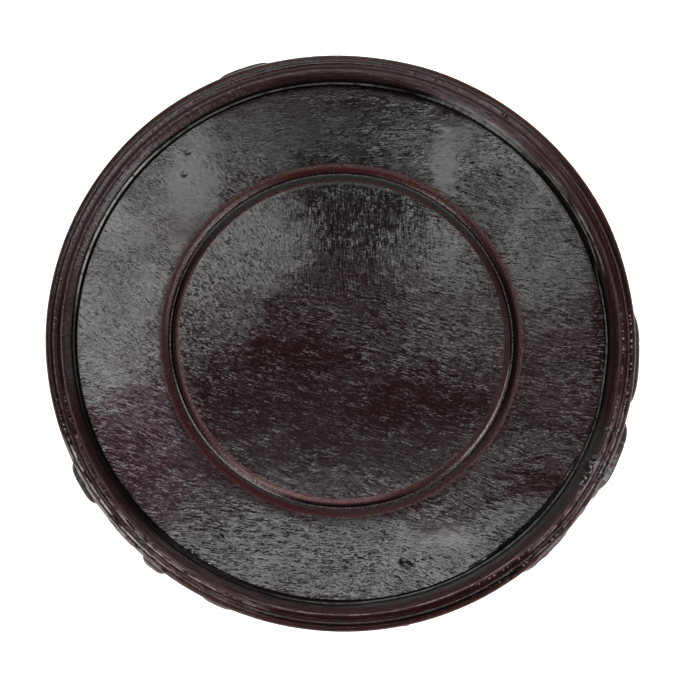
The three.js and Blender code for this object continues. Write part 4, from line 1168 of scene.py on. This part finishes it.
def apron(i):
    middle = LEGS[i] + 60
    su = np.linspace(-1, 1, 301)
    v = np.unique(np.round(np.r_[np.linspace(0, 1, 62)], 4))
    S = su[None, :] + 0 * v[:, None]
    V_ = v[:, None] + 0 * S
    edge = along(APRON_EDGE, np.abs(S))
    Z = edge + (LEG_TOP - edge) * V_
    r0 = along(APRON_OUTER, Z)
    half = 60 - np.degrees(np.arcsin(along(LEG_HALF, Z) / r0)) - np.degrees(0.12 / r0)
    deg = middle + S * half
    arc = np.radians(deg - middle) * 73.0
    h = relief_apron(arc, Z, edge, 0)
    texture = 0.05 * noise2(arc / 1.1 + 40 * i, Z / 1.3, 61) + 0.03 * noise2(arc / 0.5, Z / 0.5, 62)
    lump = lumps(deg, Z, r0)
    r = r0 - 0.95 + h + texture
    r = np.minimum(r, r0 + 0.05)
    r = np.maximum(r, np.where(lump > 0.02, r0 + lump - 0.25 * (1 - np.clip(h / 0.8, 0, 1)), 0))
    r = r - 0.45 * (1 - smooth(0, 0.05, V_)) - (0.35 - 0.22 * smooth(38, 41, Z)) * (1 - smooth(0, 0.008, 1 - np.abs(S)))
    side = 60 - np.degrees(np.arcsin(along(LEG_HALF, Z) / r)) - np.degrees(0.12 / r)
    outer = polar(r, middle + S * side, Z)
    ri = np.where(Z > 36.15, 71.35, APRON_INNER)
    # the step of the inner face follows the rim's underside
    inner = polar(ri, deg, Z)
    obj = block_mesh("carved_apron_%d" % (i + 1), outer, inner, [CARVED])
    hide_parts("apron_%d" % (i + 1))
    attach(obj, "root")
    return obj


for i in range(3):
    leg(i)
    apron(i)

# ------------------------------------------------ CAD pieces that are kept
for name, obj in nodes.items():
    if "peg" in name:
        use = BAMBOO
    elif name == "panel_batten":
        use = PLAIN
    else:
        continue
    obj.data.materials.clear()
    obj.data.materials.append(use)

# --------------------------------------------------------------- surroundings
def floor():
    n, half = 24, 2600.0
    x = np.linspace(-half, half, n)
    X, Y = np.meshgrid(x, x, indexing="ij")
    V = np.stack([X.ravel(), Y.ravel(), np.full(X.size, -0.05)], -1)
    i, j = np.meshgrid(np.arange(n - 1), np.arange(n - 1), indexing="ij")
    a = (i * n + j).ravel()
    F = np.stack([a, a + n, a + n + 1, a + 1], -1).tolist()
    m, t, b = new_material("pale_floor")
    grain = noise_tex(t, place(t), scale=0.02, detail=2.0)
    t.links.new(ramp(t, grain.outputs[0], [(0.3, (0.90, 0.90, 0.90)), (0.7, (0.93, 0.93, 0.93))]), b.inputs["Base Color"])
    b.inputs["Roughness"].default_value = 0.9
    b.inputs["Specular IOR Level"].default_value = 0.0
    b.inputs["Emission Color"].default_value = (1, 1, 1, 1)
    b.inputs["Emission Strength"].default_value = 1.05
    obj = mesh_object("floor", V, F, [m], None, 40)


floor()


def area(name, loc, target, size, power, colour=(1, 1, 1)):
    light = bpy.data.lights.new(name, "AREA")
    light.shape = "RECTANGLE"
    light.size, light.size_y = size[0] * MM, size[1] * MM
    light.energy = power
    light.color = colour
    obj = bpy.data.objects.new(name, light)
    bpy.context.scene.collection.objects.link(obj)
    obj.location = Vector(loc) * MM
    obj.rotation_euler = (Vector(target) * MM - Vector(loc) * MM).to_track_quat("-Z", "Y").to_euler()
    return obj


def radiance(size, value):
    """Power in watts of a white area light that looks value bright."""
    return value * math.pi * size[0] * size[1] * MM * MM


H = 500.0  # height of the overhead boxes above the panel
for name, loc, target, size, value, colour in (
    # two soft boxes low in front and a wide pale wall behind
    ("soft_left", (-390, -470, 560), (0, 0, 40), (240, 640), 5.6, (1, 1, 1)),
    ("soft_right", (590, -240, 540), (0, 0, 40), (280, 600), 5.2, (1, 1, 1)),
    ("right_wall", (620, 190, 560), (0, 0, 40), (240, 420), 0.9, (1, 1, 1)),
    ("back_wall", (60, 700, 680), (0, 0, 40), (1200, 560), 0.8, (0.94, 1.0, 0.97)),
    # a lamp high in front, seen only in the crests that face it
    ("front_lamp", (-20, -325, 1360), (0, 0, 40), (300, 180), 4.5, (1, 1, 1)),
    # a dimmer box behind the others
    ("top_fill", (26, 132, PANEL_TOP + 560), (26, 132, 0), (270, 270), 1.5, (1, 1, 1)),
    # overhead boxes, mirrored in the panel
    ("top_left", (-95, 130, PANEL_TOP + H), (-95, 130, 0), (130, 170), 3.05, (0.995, 0.945, 1.0)),
    ("top_inner", (-8, 168, PANEL_TOP + H), (-8, 168, 0), (40, 40), 2.3, (1, 1, 1)),
    ("top_front", (50, 8, PANEL_TOP + H), (50, 8, 0), (190, 66), 3.95, (1, 0.98, 0.99)),
    ("top_right", (72, 190, PANEL_TOP + H), (72, 190, 0), (80, 84), 2.3, (0.99, 0.98, 1.0)),
):
    area(name, loc, target, size, radiance(size, value), colour)

world = bpy.data.worlds.new("studio")
bpy.context.scene.world = world
world.use_nodes = True
bg = world.node_tree.nodes.get("Background") or world.node_tree.nodes.new("ShaderNodeBackground")
bg.inputs["Color"].default_value = (1.0, 1.0, 1.0, 1)
bg.inputs["Strength"].default_value = 0.12

# --------------------------------------------------------------------- camera
TILT, AZIMUTH, DISTANCE, FOCAL = 13.504, 258.909, 978.5, 3858.2
TARGET = Vector((-0.46, -0.28, PANEL_TOP))
direction = Vector((math.sin(math.radians(TILT)) * math.cos(math.radians(AZIMUTH)),
                    math.sin(math.radians(TILT)) * math.sin(math.radians(AZIMUTH)),
                    math.cos(math.radians(TILT))))
cam = bpy.data.cameras.new("view")
cam.sensor_width = 36
cam.lens = FOCAL / 680 * 36
cam.clip_start, cam.clip_end = 0.01, 20
camera = bpy.data.objects.new("view", cam)
bpy.context.scene.collection.objects.link(camera)
place_at = TARGET + direction * DISTANCE
forward = -direction
right = forward.cross(Vector((0, 1, 0))).normalized()
up = right.cross(forward).normalized()
camera.matrix_world = Matrix((
    (right.x, up.x, -forward.x, place_at.x * MM),
    (right.y, up.y, -forward.y, place_at.y * MM),
    (right.z, up.z, -forward.z, place_at.z * MM),
    (0, 0, 0, 1)))
bpy.context.scene.camera = camera
bpy.context.scene.view_settings.view_transform = "Standard"
